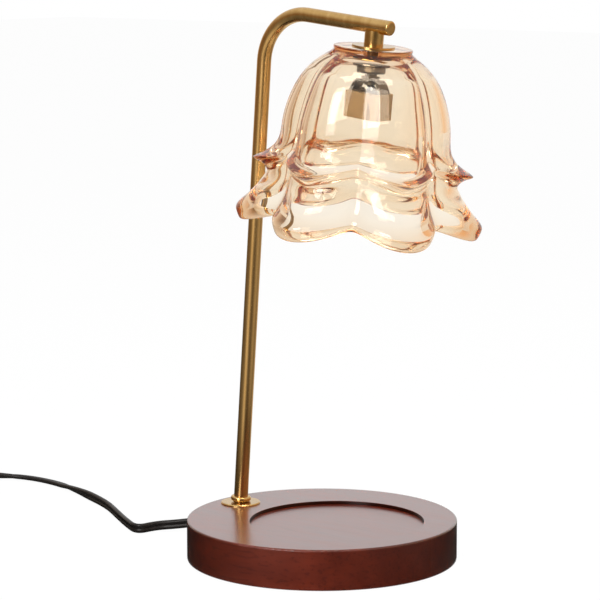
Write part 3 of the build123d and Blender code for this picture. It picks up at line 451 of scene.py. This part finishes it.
passes = np.zeros(len(section))
edges = {                        # stretch and points past it where it starts, the same for its end, and passes
    "disc": (1, 10, 4, 6, 3), "lip": (5, -12, 7, 6, 6), "hem": (8, -8, 10, 8, 18), "vault": (11, -8, 12, 4, 12)}
for first, before, last, beyond, rounds in edges.values():
    passes[counts[first] + before:counts[last] + beyond] = rounds
section = eased(section, passes)
round_turn = np.stack([np.cos(turns), np.sin(turns)], axis=-1)
local = np.concatenate([section[:, :, :1] * round_turn, section[:, :, 1:] - glass_top], axis=-1)
shade_mesh = grid_mesh("flower_shade", from_head(local), loop=True)
flower_shade = new_piece("flower_shade", shade_mesh, "lamp", "amber_glass")
flower_shade.visible_shadow = False
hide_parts("glass_shade")
print("shade", len(shade_mesh.polygons), "faces, volume", round(signed_volume(shade_mesh) * 1e6, 1), "ml")

# %% [markdown]
# ## Leads of the socket
#
# Two thin insulated wires come out of the hollow nipple and go into the top of the socket. They are limp, so
# they bow a little to the side. A round section is carried along a smooth line, as for the cord.

# %% Two black leads
lead_radius = 0.9 * MM
lead_points, lead_steps = 16, 8


def round_tube(line, radius, count):
    """Carry a circle along the line: one axis square to the line and to the head's across axis, the other square
    to the line and to the first."""
    ahead = np.gradient(line, axis=0)
    ahead /= np.linalg.norm(ahead, axis=1)[:, None]
    first = np.cross(ahead, head_across)
    first /= np.linalg.norm(first, axis=1)[:, None]
    second = np.cross(ahead, first)
    turn = np.linspace(0, 2 * np.pi, count, endpoint=False)[:, None]
    return line[:, None] + radius * (np.cos(turn) * first[:, None] + np.sin(turn) * second[:, None])


def lead_line(side):
    """The lead's line on one side: down the nipple, out in a small bow and into the socket."""
    controls = np.array([
        (0, 1.05, -22), (0, 1.05, -29.5), (0.2, 1.1, -32), (1.5, 1.9, -33.4), (1.2, 2.5, -35.2),
        (0, 2.5, -36.6), (0, 2.5, -39.2)])
    return smooth_line(from_head(controls * np.array([1, side, 1])), lead_steps)


leads = []
for side, name in ((1, "socket_lead_far"), (-1, "socket_lead_near")):
    tube = round_tube(lead_line(side), lead_radius, lead_points)
    lead = new_piece(name, grid_mesh(name, tube), "lamp", "cord_pvc")
    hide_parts("lamp_leads")
    leads.append(lead)
    print(name, len(lead.data.polygons), "faces")

# %% [markdown]
# ## Finishes
#
# No real surface has one even colour. Most finishes here share one node group: a coarse noise that shifts
# the tone and the gloss, and a fine noise for the small bumps. Each material stretches and scales it in its
# own way.

# %% A shared group for uneven surfaces
coarse_detail, fine_detail = 5, 3


def variation_group():
    """Node group: Tone is a coarse noise at Scale, Grit a fine one at Scale times Fineness."""
    group = bpy.data.node_groups.new("Uneven_Surface", "ShaderNodeTree")
    for name, kind, value in (("Vector", "NodeSocketVector", None), ("Scale", "NodeSocketFloat", 60.0),
                              ("Fineness", "NodeSocketFloat", 12.0)):
        socket = group.interface.new_socket(name, in_out="INPUT", socket_type=kind)
        if value is not None:
            socket.default_value = value
    for name in ("Tone", "Grit"):
        group.interface.new_socket(name, in_out="OUTPUT", socket_type="NodeSocketFloat")
    add, link = group.nodes.new, group.links.new
    inputs, outputs = add("NodeGroupInput"), add("NodeGroupOutput")
    coarse, fine, times = add("ShaderNodeTexNoise"), add("ShaderNodeTexNoise"), add("ShaderNodeMath")
    times.operation = "MULTIPLY"
    coarse.inputs["Detail"].default_value = coarse_detail
    fine.inputs["Detail"].default_value = fine_detail
    link(inputs.outputs["Vector"], coarse.inputs["Vector"])
    link(inputs.outputs["Vector"], fine.inputs["Vector"])
    link(inputs.outputs["Scale"], coarse.inputs["Scale"])
    link(inputs.outputs["Scale"], times.inputs[0])
    link(inputs.outputs["Fineness"], times.inputs[1])
    link(times.outputs[0], fine.inputs["Scale"])
    link(coarse.outputs["Fac"], outputs.inputs["Tone"])
    link(fine.outputs["Fac"], outputs.inputs["Grit"])
    return group


uneven = variation_group()
print("node group", uneven.name)

# %% [markdown]
# One function makes all the plain finishes from that group. It takes a dark and a light colour, a pair of
# roughnesses and the depth of the bumps, so each finish below is one call with its numbers.

# %% A material from the shared group
tone_span, gloss_span, bump_strength = (0.32, 0.68), (0.3, 0.7), 0.6


def finish(name, dark, light, rough, scale, fineness, bump, stretch=(1, 1, 1), turn=(0, 0, 0), **values):
    """Material whose colour goes from dark to light and whose roughness goes through the given pair with the
    coarse noise, and whose fine noise gives bumps of the given depth in metres."""
    material = bpy.data.materials.new(name)
    material.use_nodes = True
    tree = material.node_tree
    add, link, shader = tree.nodes.new, tree.links.new, tree.nodes["Principled BSDF"]
    for socket, value in values.items():
        shader.inputs[socket.replace("_", " ")].default_value = value
    places, mapping, group = add("ShaderNodeTexCoord"), add("ShaderNodeMapping"), add("ShaderNodeGroup")
    group.node_tree = uneven
    mapping.inputs["Scale"].default_value = stretch
    mapping.inputs["Rotation"].default_value = turn
    group.inputs["Scale"].default_value = scale
    group.inputs["Fineness"].default_value = fineness
    ramp, gloss, bumps = add("ShaderNodeValToRGB"), add("ShaderNodeMapRange"), add("ShaderNodeBump")
    for element, position, colour in zip(ramp.color_ramp.elements, tone_span, (dark, light)):
        element.position, element.color = position, (*colour, 1)
    gloss.inputs["From Min"].default_value, gloss.inputs["From Max"].default_value = gloss_span
    gloss.inputs["To Min"].default_value, gloss.inputs["To Max"].default_value = rough
    bumps.inputs["Distance"].default_value = bump
    bumps.inputs["Strength"].default_value = bump_strength
    link(places.outputs["Object"], mapping.inputs["Vector"])
    link(mapping.outputs["Vector"], group.inputs["Vector"])
    link(group.outputs["Tone"], ramp.inputs["Fac"])
    link(group.outputs["Tone"], gloss.inputs["Value"])
    link(group.outputs["Grit"], bumps.inputs["Height"])
    link(ramp.outputs["Color"], shader.inputs["Base Color"])
    link(gloss.outputs["Result"], shader.inputs["Roughness"])
    link(bumps.outputs["Normal"], shader.inputs["Normal"])
    return material


def dress(material, *names):
    """Put the material on the CAD pieces with these names."""
    for name in names:
        for holder in nodes[name].material_slots:
            holder.material = material
    print(material.name, "on", ", ".join(names))


print("functions for finishes:", finish.__name__, dress.__name__)

# %% [markdown]
# ## Brass
#
# The tube is drawn brass with a satin, slightly aged face: fine lines run along it from the drawing, and the
# metal is browner than fresh brass. Noise that is stretched upwards makes those lines on the upright part.

# %% Brass of the tube and of the small fittings
drawn_brass = finish("drawn_brass", (0.50, 0.30, 0.10), (0.62, 0.40, 0.16), (0.20, 0.27), 260, 6, 0.000002,
                     stretch=(1, 1, 0.02), Metallic=1.0)
turned_brass = finish("turned_brass", (0.48, 0.30, 0.105), (0.58, 0.385, 0.155), (0.16, 0.24), 140, 9, 0.000003,
                      Metallic=1.0)
dress(drawn_brass, "stem_tube")
dress(turned_brass, "arm_end_cap", "foot_flange", "stem_collar", "neck_sleeve", "shade_washer")

# %% [markdown]
# ## Steel, ceramic, rubber and plastic
#
# These are the quiet pieces: dark plated steel in the head, a tan ceramic block whose colour is painted much darker
# as shade inside the glass shade, black rubber under the base, and fine-grained black plastic on the cord. They
# differ only in the numbers that the shared function gets.

# %% The other finishes of the hard pieces
zinc = finish("zinc_plate", (0.10, 0.080, 0.058), (0.17, 0.138, 0.10), (0.30, 0.45), 180, 8, 0.00002,
              Metallic=1.0)
dress(zinc, "clamp_washer", "clamp_nut", "neck_nipple", "lower_washer", "shade_nut", "bracket_nuts",
      "socket_bracket", "socket_screws", "wheel_shaft", "shell_screws")
# Painted shade: the ceramic's tan is painted far darker than the pale ceramic, for the shade inside the glass
ceramic = finish("tan_ceramic_in_painted_shade", (0.140, 0.084, 0.032), (0.170, 0.105, 0.042), (0.55, 0.75), 220, 10, 0.00005)
dress(ceramic, "socket_body")
contact = finish("contact_brass", (0.60, 0.42, 0.16), (0.74, 0.54, 0.24), (0.22, 0.35), 200, 8, 0.00001,
                 Metallic=1.0)
dress(contact, "socket_contacts", "plug_blades")
rubber = finish("black_rubber", (0.018, 0.017, 0.016), (0.035, 0.033, 0.031), (0.65, 0.85), 150, 14, 0.00006)
dress(rubber, "base_pad", "shade_gasket", "cord_grommet")
grained = finish("grained_plastic", (0.020, 0.018, 0.016), (0.030, 0.027, 0.024), (0.42, 0.55), 300, 9, 0.00005)
dress(grained, "dimmer_lower_shell", "dimmer_upper_shell", "plug_body")
smooth = finish("smooth_plastic", (0.035, 0.032, 0.029), (0.050, 0.046, 0.042), (0.30, 0.42), 200, 9, 0.00002)
dress(smooth, "dimmer_wheel", "dimmer_pot", "cord_tie")
jacket = finish("cord_jacket", (0.006, 0.005, 0.0045), (0.012, 0.0095, 0.0085), (0.34, 0.46), 120, 16, 0.000006,
                IOR=1.30)
dress(jacket, "inner_cord")
for piece in (cord_to_dimmer, cord_to_plug, *leads):
    piece.data.materials.append(jacket)

# %% [markdown]
# ## Stained wood
#
# The base is a light hardwood that was stained dark red-brown and lacquered. Pores show as short dark flecks
# along the grain, wider bands of tone run the same way, and the satin lacquer reflects the bright room at a
# flat angle. Flecks and bands are noise that is stretched along the grain.
#
# Painted light and shade: round the rim the wood is painted pale on two opposite sides and darker between them, and
# the seat's wall is painted dark as shade. Both follow from where a point lies on the base, so they could be painted,
# but a few sums on the Object coordinates need no picture and stay sharp from near by.

# %% Painted light and shade on the rim and in the seat
painted_light_turn, rim_shade_power = radians(24.582), 5    # direction of one painted pale side, turned from -Y towards +X
rim_span = (0.0735, 0.0748)                    # radius where the top ends and the rim begins
# Painted shade keeps the first share of the wood's lightness between the pale sides, painted light gives the second
# on them
rim_shade_share, rim_light_share = 0.54, 1.04
candle_seat_middle, candle_seat_radius = (0.0105, 0, 0), 0.0483
seat_shade_share = 0.20
seat_shade_span = (0.0003, 0.0010)                 # distance from the seat's wall over which its painted shade ends
seat_edge_span = (0.0222, 0.0225)              # height over which it ends below the top face


def flat_radius(tree, places, middle):
    """Distance from an upright axis through the middle, and the flat vector from that axis."""
    add, link = tree.nodes.new, tree.links.new
    shifted, flat, radius = add("ShaderNodeVectorMath"), add("ShaderNodeVectorMath"), add("ShaderNodeVectorMath")
    shifted.operation, flat.operation, radius.operation = "SUBTRACT", "MULTIPLY", "LENGTH"
    shifted.inputs[1].default_value = middle
    flat.inputs[1].default_value = (1, 1, 0)
    link(places.outputs["Object"], shifted.inputs[0])
    link(shifted.outputs["Vector"], flat.inputs[0])
    link(flat.outputs["Vector"], radius.inputs[0])
    return radius.outputs["Value"], flat.outputs["Vector"]


def mapped(tree, value, start, end, low, high):
    """Share that goes from low to high while the value goes from start to end."""
    node = tree.nodes.new("ShaderNodeMapRange")
    for name, number in zip(("From Min", "From Max", "To Min", "To Max"), (start, end, low, high)):
        node.inputs[name].default_value = number
    tree.links.new(value, node.inputs["Value"])
    return node.outputs["Result"]


def calculated(tree, operation, first, second):
    """Result of one operation on two sockets or numbers."""
    node = tree.nodes.new("ShaderNodeMath")
    node.operation = operation
    for socket, value in zip(node.inputs, (first, second)):
        if isinstance(value, (int, float)):
            socket.default_value = value
        else:
            tree.links.new(value, socket)
    return node.outputs["Value"]


def painted_shade_shares(tree, places):
    """Painted light and shade on the rim: a high power of the cosine of the angle from the pale side, its sign left
    out, so that the rim is dark between the two pale sides. Painted shade in the seat: dark within a millimetre of
    its wall, below the top face. Both are shares of the stain's colour."""
    radius, flat = flat_radius(tree, places, (0, 0, 0))
    cosine = tree.nodes.new("ShaderNodeVectorMath")
    cosine.operation = "DOT_PRODUCT"
    cosine.inputs[1].default_value = (np.sin(painted_light_turn), -np.cos(painted_light_turn), 0)
    tree.links.new(flat, cosine.inputs[0])
    facing = calculated(tree, "DIVIDE", cosine.outputs["Value"], radius)
    painted_light_weight = calculated(tree, "POWER", calculated(tree, "ABSOLUTE", facing, 0), rim_shade_power)
    grain = mapped(tree, painted_light_weight, 0, 1, rim_shade_share, rim_light_share)
    on_rim = mapped(tree, radius, *rim_span, 0, 1)
    change = calculated(tree, "MULTIPLY", calculated(tree, "SUBTRACT", grain, 1), on_rim)
    rim = calculated(tree, "ADD", change, 1)
    seat_distance = flat_radius(tree, places, candle_seat_middle)[0]
    from_wall = calculated(tree, "SUBTRACT", seat_distance, candle_seat_radius)
    off_wall = mapped(tree, calculated(tree, "ABSOLUTE", from_wall, 0), *seat_shade_span, 0, 1)
    height = tree.nodes.new("ShaderNodeSeparateXYZ")
    tree.links.new(places.outputs["Object"], height.inputs["Vector"])
    on_top = mapped(tree, height.outputs["Z"], *seat_edge_span, 0, 1)
    seat = mapped(tree, calculated(tree, "MAXIMUM", off_wall, on_top), 0, 1, seat_shade_share, 1)
    return rim, seat


# Painted shade: the rim's dark sides and the seat's wall keep these shares of the wood's lightness
print("end grain keeps", rim_shade_share, "and the seat's wall", seat_shade_share, "of the stain's lightness")

# %% [markdown]
# The wood's material joins it all: bands and pores give the colour, the two shares of painted light and shade darken
# it, and a clear coat over it is the lacquer. The coat is weak on the seat's wall, so that the wall stays dark and
# dull as painted shade without reflection.

# %% Wood of the base
band_span, pore_span = (0.30, 0.72), (0.34, 0.46)
band_colours = ((0.064, 0.0066, 0.0018, 1), (0.096, 0.0108, 0.0028, 1))
pore_colour = (0.70, 0.66, 0.64, 1)
grain_stretch, noise_turn = (0.10, 1, 1), radians(-22)    # the turn comes after the stretch, so it moves no grain


def wood_material():
    """Bands and pores are two stretched noises; both darken the stain and the pores also dent the lacquer."""
    material = bpy.data.materials.new("stained_wood")
    material.use_nodes = True
    tree = material.node_tree
    add, link, shader = tree.nodes.new, tree.links.new, tree.nodes["Principled BSDF"]
    places, along_grain, group = add("ShaderNodeTexCoord"), add("ShaderNodeMapping"), add("ShaderNodeGroup")
    group.node_tree = uneven
    along_grain.inputs["Scale"].default_value = grain_stretch
    along_grain.inputs["Rotation"].default_value = (0, 0, noise_turn)
    group.inputs["Scale"].default_value = 110
    group.inputs["Fineness"].default_value = 6
    shader.inputs["IOR"].default_value = 1.2
    shader.inputs["Coat Roughness"].default_value = 0.22
    shader.inputs["Coat IOR"].default_value = 1.46
    bands, pores, mixed = add("ShaderNodeValToRGB"), add("ShaderNodeMapRange"), add("ShaderNodeMix")
    mixed.data_type = "RGBA"
    mixed.blend_type = "MULTIPLY"
    for element, position, colour in zip(bands.color_ramp.elements, band_span, band_colours):
        element.position, element.color = position, colour
    pores.inputs["From Min"].default_value, pores.inputs["From Max"].default_value = pore_span
    pores.inputs["To Min"].default_value, pores.inputs["To Max"].default_value = 1.0, 0.0
    mixed.inputs["B"].default_value = pore_colour
    gloss, bumps = add("ShaderNodeMapRange"), add("ShaderNodeBump")
    gloss.inputs["To Min"].default_value, gloss.inputs["To Max"].default_value = 0.26, 0.36
    bumps.inputs["Distance"].default_value = 0.00003
    bumps.inputs["Strength"].default_value = 0.5
    link(places.outputs["Object"], along_grain.inputs["Vector"])
    link(along_grain.outputs["Vector"], group.inputs["Vector"])
    link(group.outputs["Tone"], bands.inputs["Fac"])
    link(group.outputs["Grit"], pores.inputs["Value"])
    link(bands.outputs["Color"], mixed.inputs["A"])
    link(pores.outputs["Result"], mixed.inputs["Factor"])
    link(group.outputs["Tone"], gloss.inputs["Value"])
    link(group.outputs["Grit"], bumps.inputs["Height"])
    # Painted light and shade on the rim and on the seat's wall scale the wood's colour
    rim, seat = painted_shade_shares(tree, places)
    stained = add("ShaderNodeVectorMath")
    stained.operation = "SCALE"
    link(mixed.outputs["Result"], stained.inputs["Vector"])
    link(calculated(tree, "MULTIPLY", rim, seat), stained.inputs["Scale"])
    link(stained.outputs["Vector"], shader.inputs["Base Color"])
    # Painted shade: the seat's wall also loses most of its coat, so it shows no reflection
    link(seat, shader.inputs["Coat Weight"])
    link(gloss.outputs["Result"], shader.inputs["Roughness"])
    link(bumps.outputs["Normal"], shader.inputs["Normal"])
    link(bumps.outputs["Normal"], shader.inputs["Coat Normal"])
    return material


dress(wood_material(), "wood_base")

# %% [markdown]
# ## Amber glass
#
# The glass has a warm tint: it is pale where one looks straight through the wall and deep orange where the
# line of sight runs along it. Colouring the surface alone could not do that. So the surface carries only a
# slight tint, and the volume does the rest: it takes a little light from every millimetre of glass. A faint
# waviness breaks reflections.

# %% Glass with its tint in the volume
def glass_material():
    """Slightly tinted refracting surface with faint ripples; the volume absorbs blue most, then green."""
    material = bpy.data.materials.new("amber_glass")
    material.use_nodes = True
    tree = material.node_tree
    add, link, shader = tree.nodes.new, tree.links.new, tree.nodes["Principled BSDF"]
    shader.inputs["Base Color"].default_value = (1.0, 0.972, 0.892, 1)
    shader.inputs["Roughness"].default_value = 0.0
    shader.inputs["IOR"].default_value = 1.5
    shader.inputs["Transmission Weight"].default_value = 1.0
    shader.inputs["Specular Tint"].default_value = (0.7, 0.7, 0.7, 1)
    absorb = add("ShaderNodeVolumeAbsorption")
    absorb.inputs["Color"].default_value = (0.80, 0.47, 0.08, 1)
    absorb.inputs["Density"].default_value = 53
    places, group, bumps = add("ShaderNodeTexCoord"), add("ShaderNodeGroup"), add("ShaderNodeBump")
    group.node_tree = uneven
    group.inputs["Scale"].default_value = 45
    bumps.inputs["Distance"].default_value = 0.00025
    bumps.inputs["Strength"].default_value = 0.12
    link(places.outputs["Object"], group.inputs["Vector"])
    link(group.outputs["Tone"], bumps.inputs["Height"])
    link(bumps.outputs["Normal"], shader.inputs["Normal"])
    link(absorb.outputs["Volume"], tree.nodes["Material Output"].inputs["Volume"])
    return material


flower_shade.data.materials.append(glass_material())
print("glass on", flower_shade.name)

# %% [markdown]
# ## Studio
#
# The lamp stands on white paper in front of a white background. Rays that look at the paper or the background
# see nearly full white, while rays that light the lamp get a plain, weaker light from them. So the picture is
# white without more light on the lamp, and the paper still keeps a faint shadow.

# %% Floor and background
paper_glow, room_light = 0.972, 0.28
floor_half, floor_level = 6.0, -0.0002


def looked_at(tree):
    """Socket that is one for rays that look at a surface, straight or by way of metal and glass, and zero for
    rays that light the object."""
    add, link = tree.nodes.new, tree.links.new
    rays, seen, also, lit, looks = (add("ShaderNodeLightPath"), add("ShaderNodeMath"), add("ShaderNodeMath"),
                                    add("ShaderNodeMath"), add("ShaderNodeMath"))
    seen.operation = also.operation = "MAXIMUM"
    lit.operation, looks.operation = "LESS_THAN", "MULTIPLY"
    lit.inputs[1].default_value = 0.5
    link(rays.outputs["Is Camera Ray"], seen.inputs[0])
    link(rays.outputs["Is Transmission Ray"], seen.inputs[1])
    link(seen.outputs[0], also.inputs[0])
    link(rays.outputs["Is Glossy Ray"], also.inputs[1])
    link(rays.outputs["Diffuse Depth"], lit.inputs[0])
    link(also.outputs[0], looks.inputs[0])
    link(lit.outputs[0], looks.inputs[1])
    return looks.outputs[0]


def floor_material():
    """White paper: plain diffuse for light, and nearly full white for the rays that look at it."""
    material = bpy.data.materials.new("white_paper")
    material.use_nodes = True
    tree = material.node_tree
    add, link, shader = tree.nodes.new, tree.links.new, tree.nodes["Principled BSDF"]
    shader.inputs["Base Color"].default_value = (0.86, 0.86, 0.86, 1)
    shader.inputs["Roughness"].default_value = 0.9
    shader.inputs["Specular IOR Level"].default_value = 0.1
    glow, mix = add("ShaderNodeEmission"), add("ShaderNodeMixShader")
    weight = add("ShaderNodeMath")
    weight.operation = "MULTIPLY"
    weight.inputs[1].default_value = paper_glow
    link(looked_at(tree), weight.inputs[0])
    link(weight.outputs[0], mix.inputs["Fac"])
    link(shader.outputs["BSDF"], mix.inputs[1])
    link(glow.outputs["Emission"], mix.inputs[2])
    link(mix.outputs["Shader"], tree.nodes["Material Output"].inputs["Surface"])
    return material


floor_mesh = bpy.data.meshes.new("floor")
corners = [(x * floor_half, y * floor_half, floor_level) for x, y in ((-1, -1), (1, -1), (1, 1), (-1, 1))]
floor_mesh.from_pydata(corners, [], [(0, 1, 2, 3)])
floor_mesh.materials.append(floor_material())
floor = bpy.data.objects.new("floor", floor_mesh)
scene.collection.objects.link(floor)

world = bpy.data.worlds.new("white_background")
scene.world = world
world.use_nodes = True
tree = world.node_tree
add, link, background = tree.nodes.new, tree.links.new, tree.nodes["Background"]
strength = add("ShaderNodeMapRange")
strength.inputs["To Min"].default_value = room_light
strength.inputs["To Max"].default_value = 1.0
link(looked_at(tree), strength.inputs["Value"])
background.inputs["Color"].default_value = (1, 1, 1, 1)
link(strength.outputs["Result"], background.inputs["Strength"])
print("floor and background are white")

# %% [markdown]
# Polished brass and clear glass show what stands round them, and in an all white room they look flat. So two
# cards stand round the lamp that neither the camera nor diffuse light sees: a mat on the floor, which shows only
# in reflections, and a wall nearly all round, dark in front, which shows through the glass too. Their dark and
# bright parts make the bands on the tube. The wall turns white at its top and ends, to leave no hard edge.

# %% Cards that reflections see
card_columns, card_reach, mat_level, wall_fade = 109, 2.2, 0.0003, 40
mat_tint, wall_tint = (1.0, 0.92, 0.82), (1.0, 0.66, 0.40)


def card(name, rows, glow, tint, fade):
    """Surface round the lamp: each row is a ring at a radius and a height with a share of the glow and a share of
    white; the glow depends on the turn, and at both ends the card turns white over the fade in degrees."""
    turn = np.linspace(card_turns[0], card_turns[-1], card_columns)
    angle = camera_turn + np.radians(turn)
    around = np.stack([np.sin(angle), -np.cos(angle)], axis=-1)
    rows = np.array(rows)
    heights = np.broadcast_to(rows[:, 1:2, None], (len(rows), len(turn), 1))
    points = np.concatenate([rows[:, :1, None] * around, heights], axis=-1)
    row, column = np.meshgrid(np.arange(len(rows) - 1), np.arange(len(turn) - 1), indexing="ij")
    first = (row * len(turn) + column).ravel()
    cells = np.stack([first, first + 1, first + 1 + len(turn), first + len(turn)], axis=-1)
    mesh = bpy.data.meshes.new(name)
    mesh.from_pydata(points.reshape(-1, 3), [], cells.tolist())
    ends = 0 * turn
    if fade:
        ends = np.interp(turn, (turn[0], turn[0] + fade, turn[-1] - fade, turn[-1]), (1, 0, 0, 1))
    white = (1 - (1 - rows[:, 3:]) * (1 - ends))[:, :, None]
    shares_of_glow = (rows[:, 2:3] * np.interp(turn, card_turns, glow))[:, :, None]
    colour = shares_of_glow * np.array(tint) * (1 - white) + white
    shine = mesh.attributes.new("glow", "FLOAT_COLOR", "POINT")
    shine.data.foreach_set("color", np.concatenate([colour, np.ones_like(white)], axis=-1).ravel())
    paint = bpy.data.materials.new(name)
    paint.use_nodes = True
    tree = paint.node_tree
    value, shader = tree.nodes.new("ShaderNodeAttribute"), tree.nodes["Principled BSDF"]
    value.attribute_name = "glow"
    shader.inputs["Base Color"].default_value = (0, 0, 0, 1)
    shader.inputs["Specular IOR Level"].default_value = 0
    shader.inputs["Emission Strength"].default_value = 1
    tree.links.new(value.outputs["Color"], shader.inputs["Emission Color"])
    mesh.materials.append(paint)
    piece = bpy.data.objects.new(name, mesh)
    scene.collection.objects.link(piece)
    piece.visible_camera = piece.visible_diffuse = piece.visible_shadow = False
    return piece


card_turns = (-165, -114, -87, -65, -54, -46, -28, -20, -8, 8, 25, 43, 63, 84, 110, 140, 160)
card_glow = (0.15, 0.15, 0.20, 0.30, 0.60, 1.0, 1.0, 0.55, 0.25, 0.15, 0.22, 0.40, 0.65, 0.45, 0.28, 0.80, 0.90)
mat_rows = [(0.0757, mat_level, 0.12, 0), (0.16, mat_level, 0.12, 0), (0.25, mat_level, 1, 0),
            (card_reach, mat_level, 1, 0)]
mat = card("dark_mat", mat_rows, card_glow, mat_tint, 0)
mat.visible_transmission = False
wall_middle, wall_half_span, front_glow = -41.5, 84, 0.32
wall_glow = np.where(np.abs(np.array(card_turns) - wall_middle) < wall_half_span, front_glow, 1.0)
wall_rows = [(card_reach, 0.0, 1, 0), (card_reach, 0.6, 1, 0), (card_reach, 1.4, 1, 0.5), (card_reach, 2.6, 1, 1)]
card("dark_room", wall_rows, wall_glow, wall_tint, wall_fade)
print("cards: dark_mat and dark_room")

# %% [markdown]
# A tall soft light to the left of the camera makes the long streaks in the glass. Its lower part is a lamp of
# its own and dimmer, so that the streaks fade downwards. Diffuse surfaces don't see it. A front and a top light
# do the plain lighting, and reflections don't see those.

# %% Soft lights
def softbox(name, turn, rise, distance, width, height, radiance):
    """Area lamp aimed at the middle of the lamp; its power is radiance times pi times its area."""
    data = bpy.data.lights.new(name, "AREA")
    data.shape = "RECTANGLE"
    data.size, data.size_y = width, height
    data.energy = radiance * np.pi * width * height
    lamp = bpy.data.objects.new(name, data)
    turn, rise = camera_turn + radians(turn), radians(rise)
    lamp.location = camera_target + distance * direction(turn, rise)
    lamp.rotation_euler = (radians(90) - rise, 0, turn)
    scene.collection.objects.link(lamp)
    print(name, "at", [round(x, 2) for x in lamp.location], "power", round(data.energy, 1))
    return lamp


key = softbox("key_softbox", -30, 29, 1.5, 0.60, 0.76, 11)
key_foot = softbox("key_foot_softbox", -30, 9.4, 1.5, 0.60, 0.30, 4.5)
key.visible_diffuse = key_foot.visible_diffuse = False
front = softbox("front_softbox", -6, 30, 1.6, 0.8, 0.8, 9.5)
front.visible_glossy = False
top = softbox("top_softbox", 10, 78, 1.5, 1.0, 1.0, 10)
top.visible_glossy = False

# %% [markdown]
# ## Settings
#
# Thick glass needs many bounces before light leaves it again. The standard view shows colours as they are written.

# %% View and bounces
scene.view_settings.view_transform = "Standard"
glass_bounces, mirror_bounces = 48, 32
scene.cycles.max_bounces = scene.cycles.transmission_bounces = glass_bounces
scene.cycles.glossy_bounces = mirror_bounces
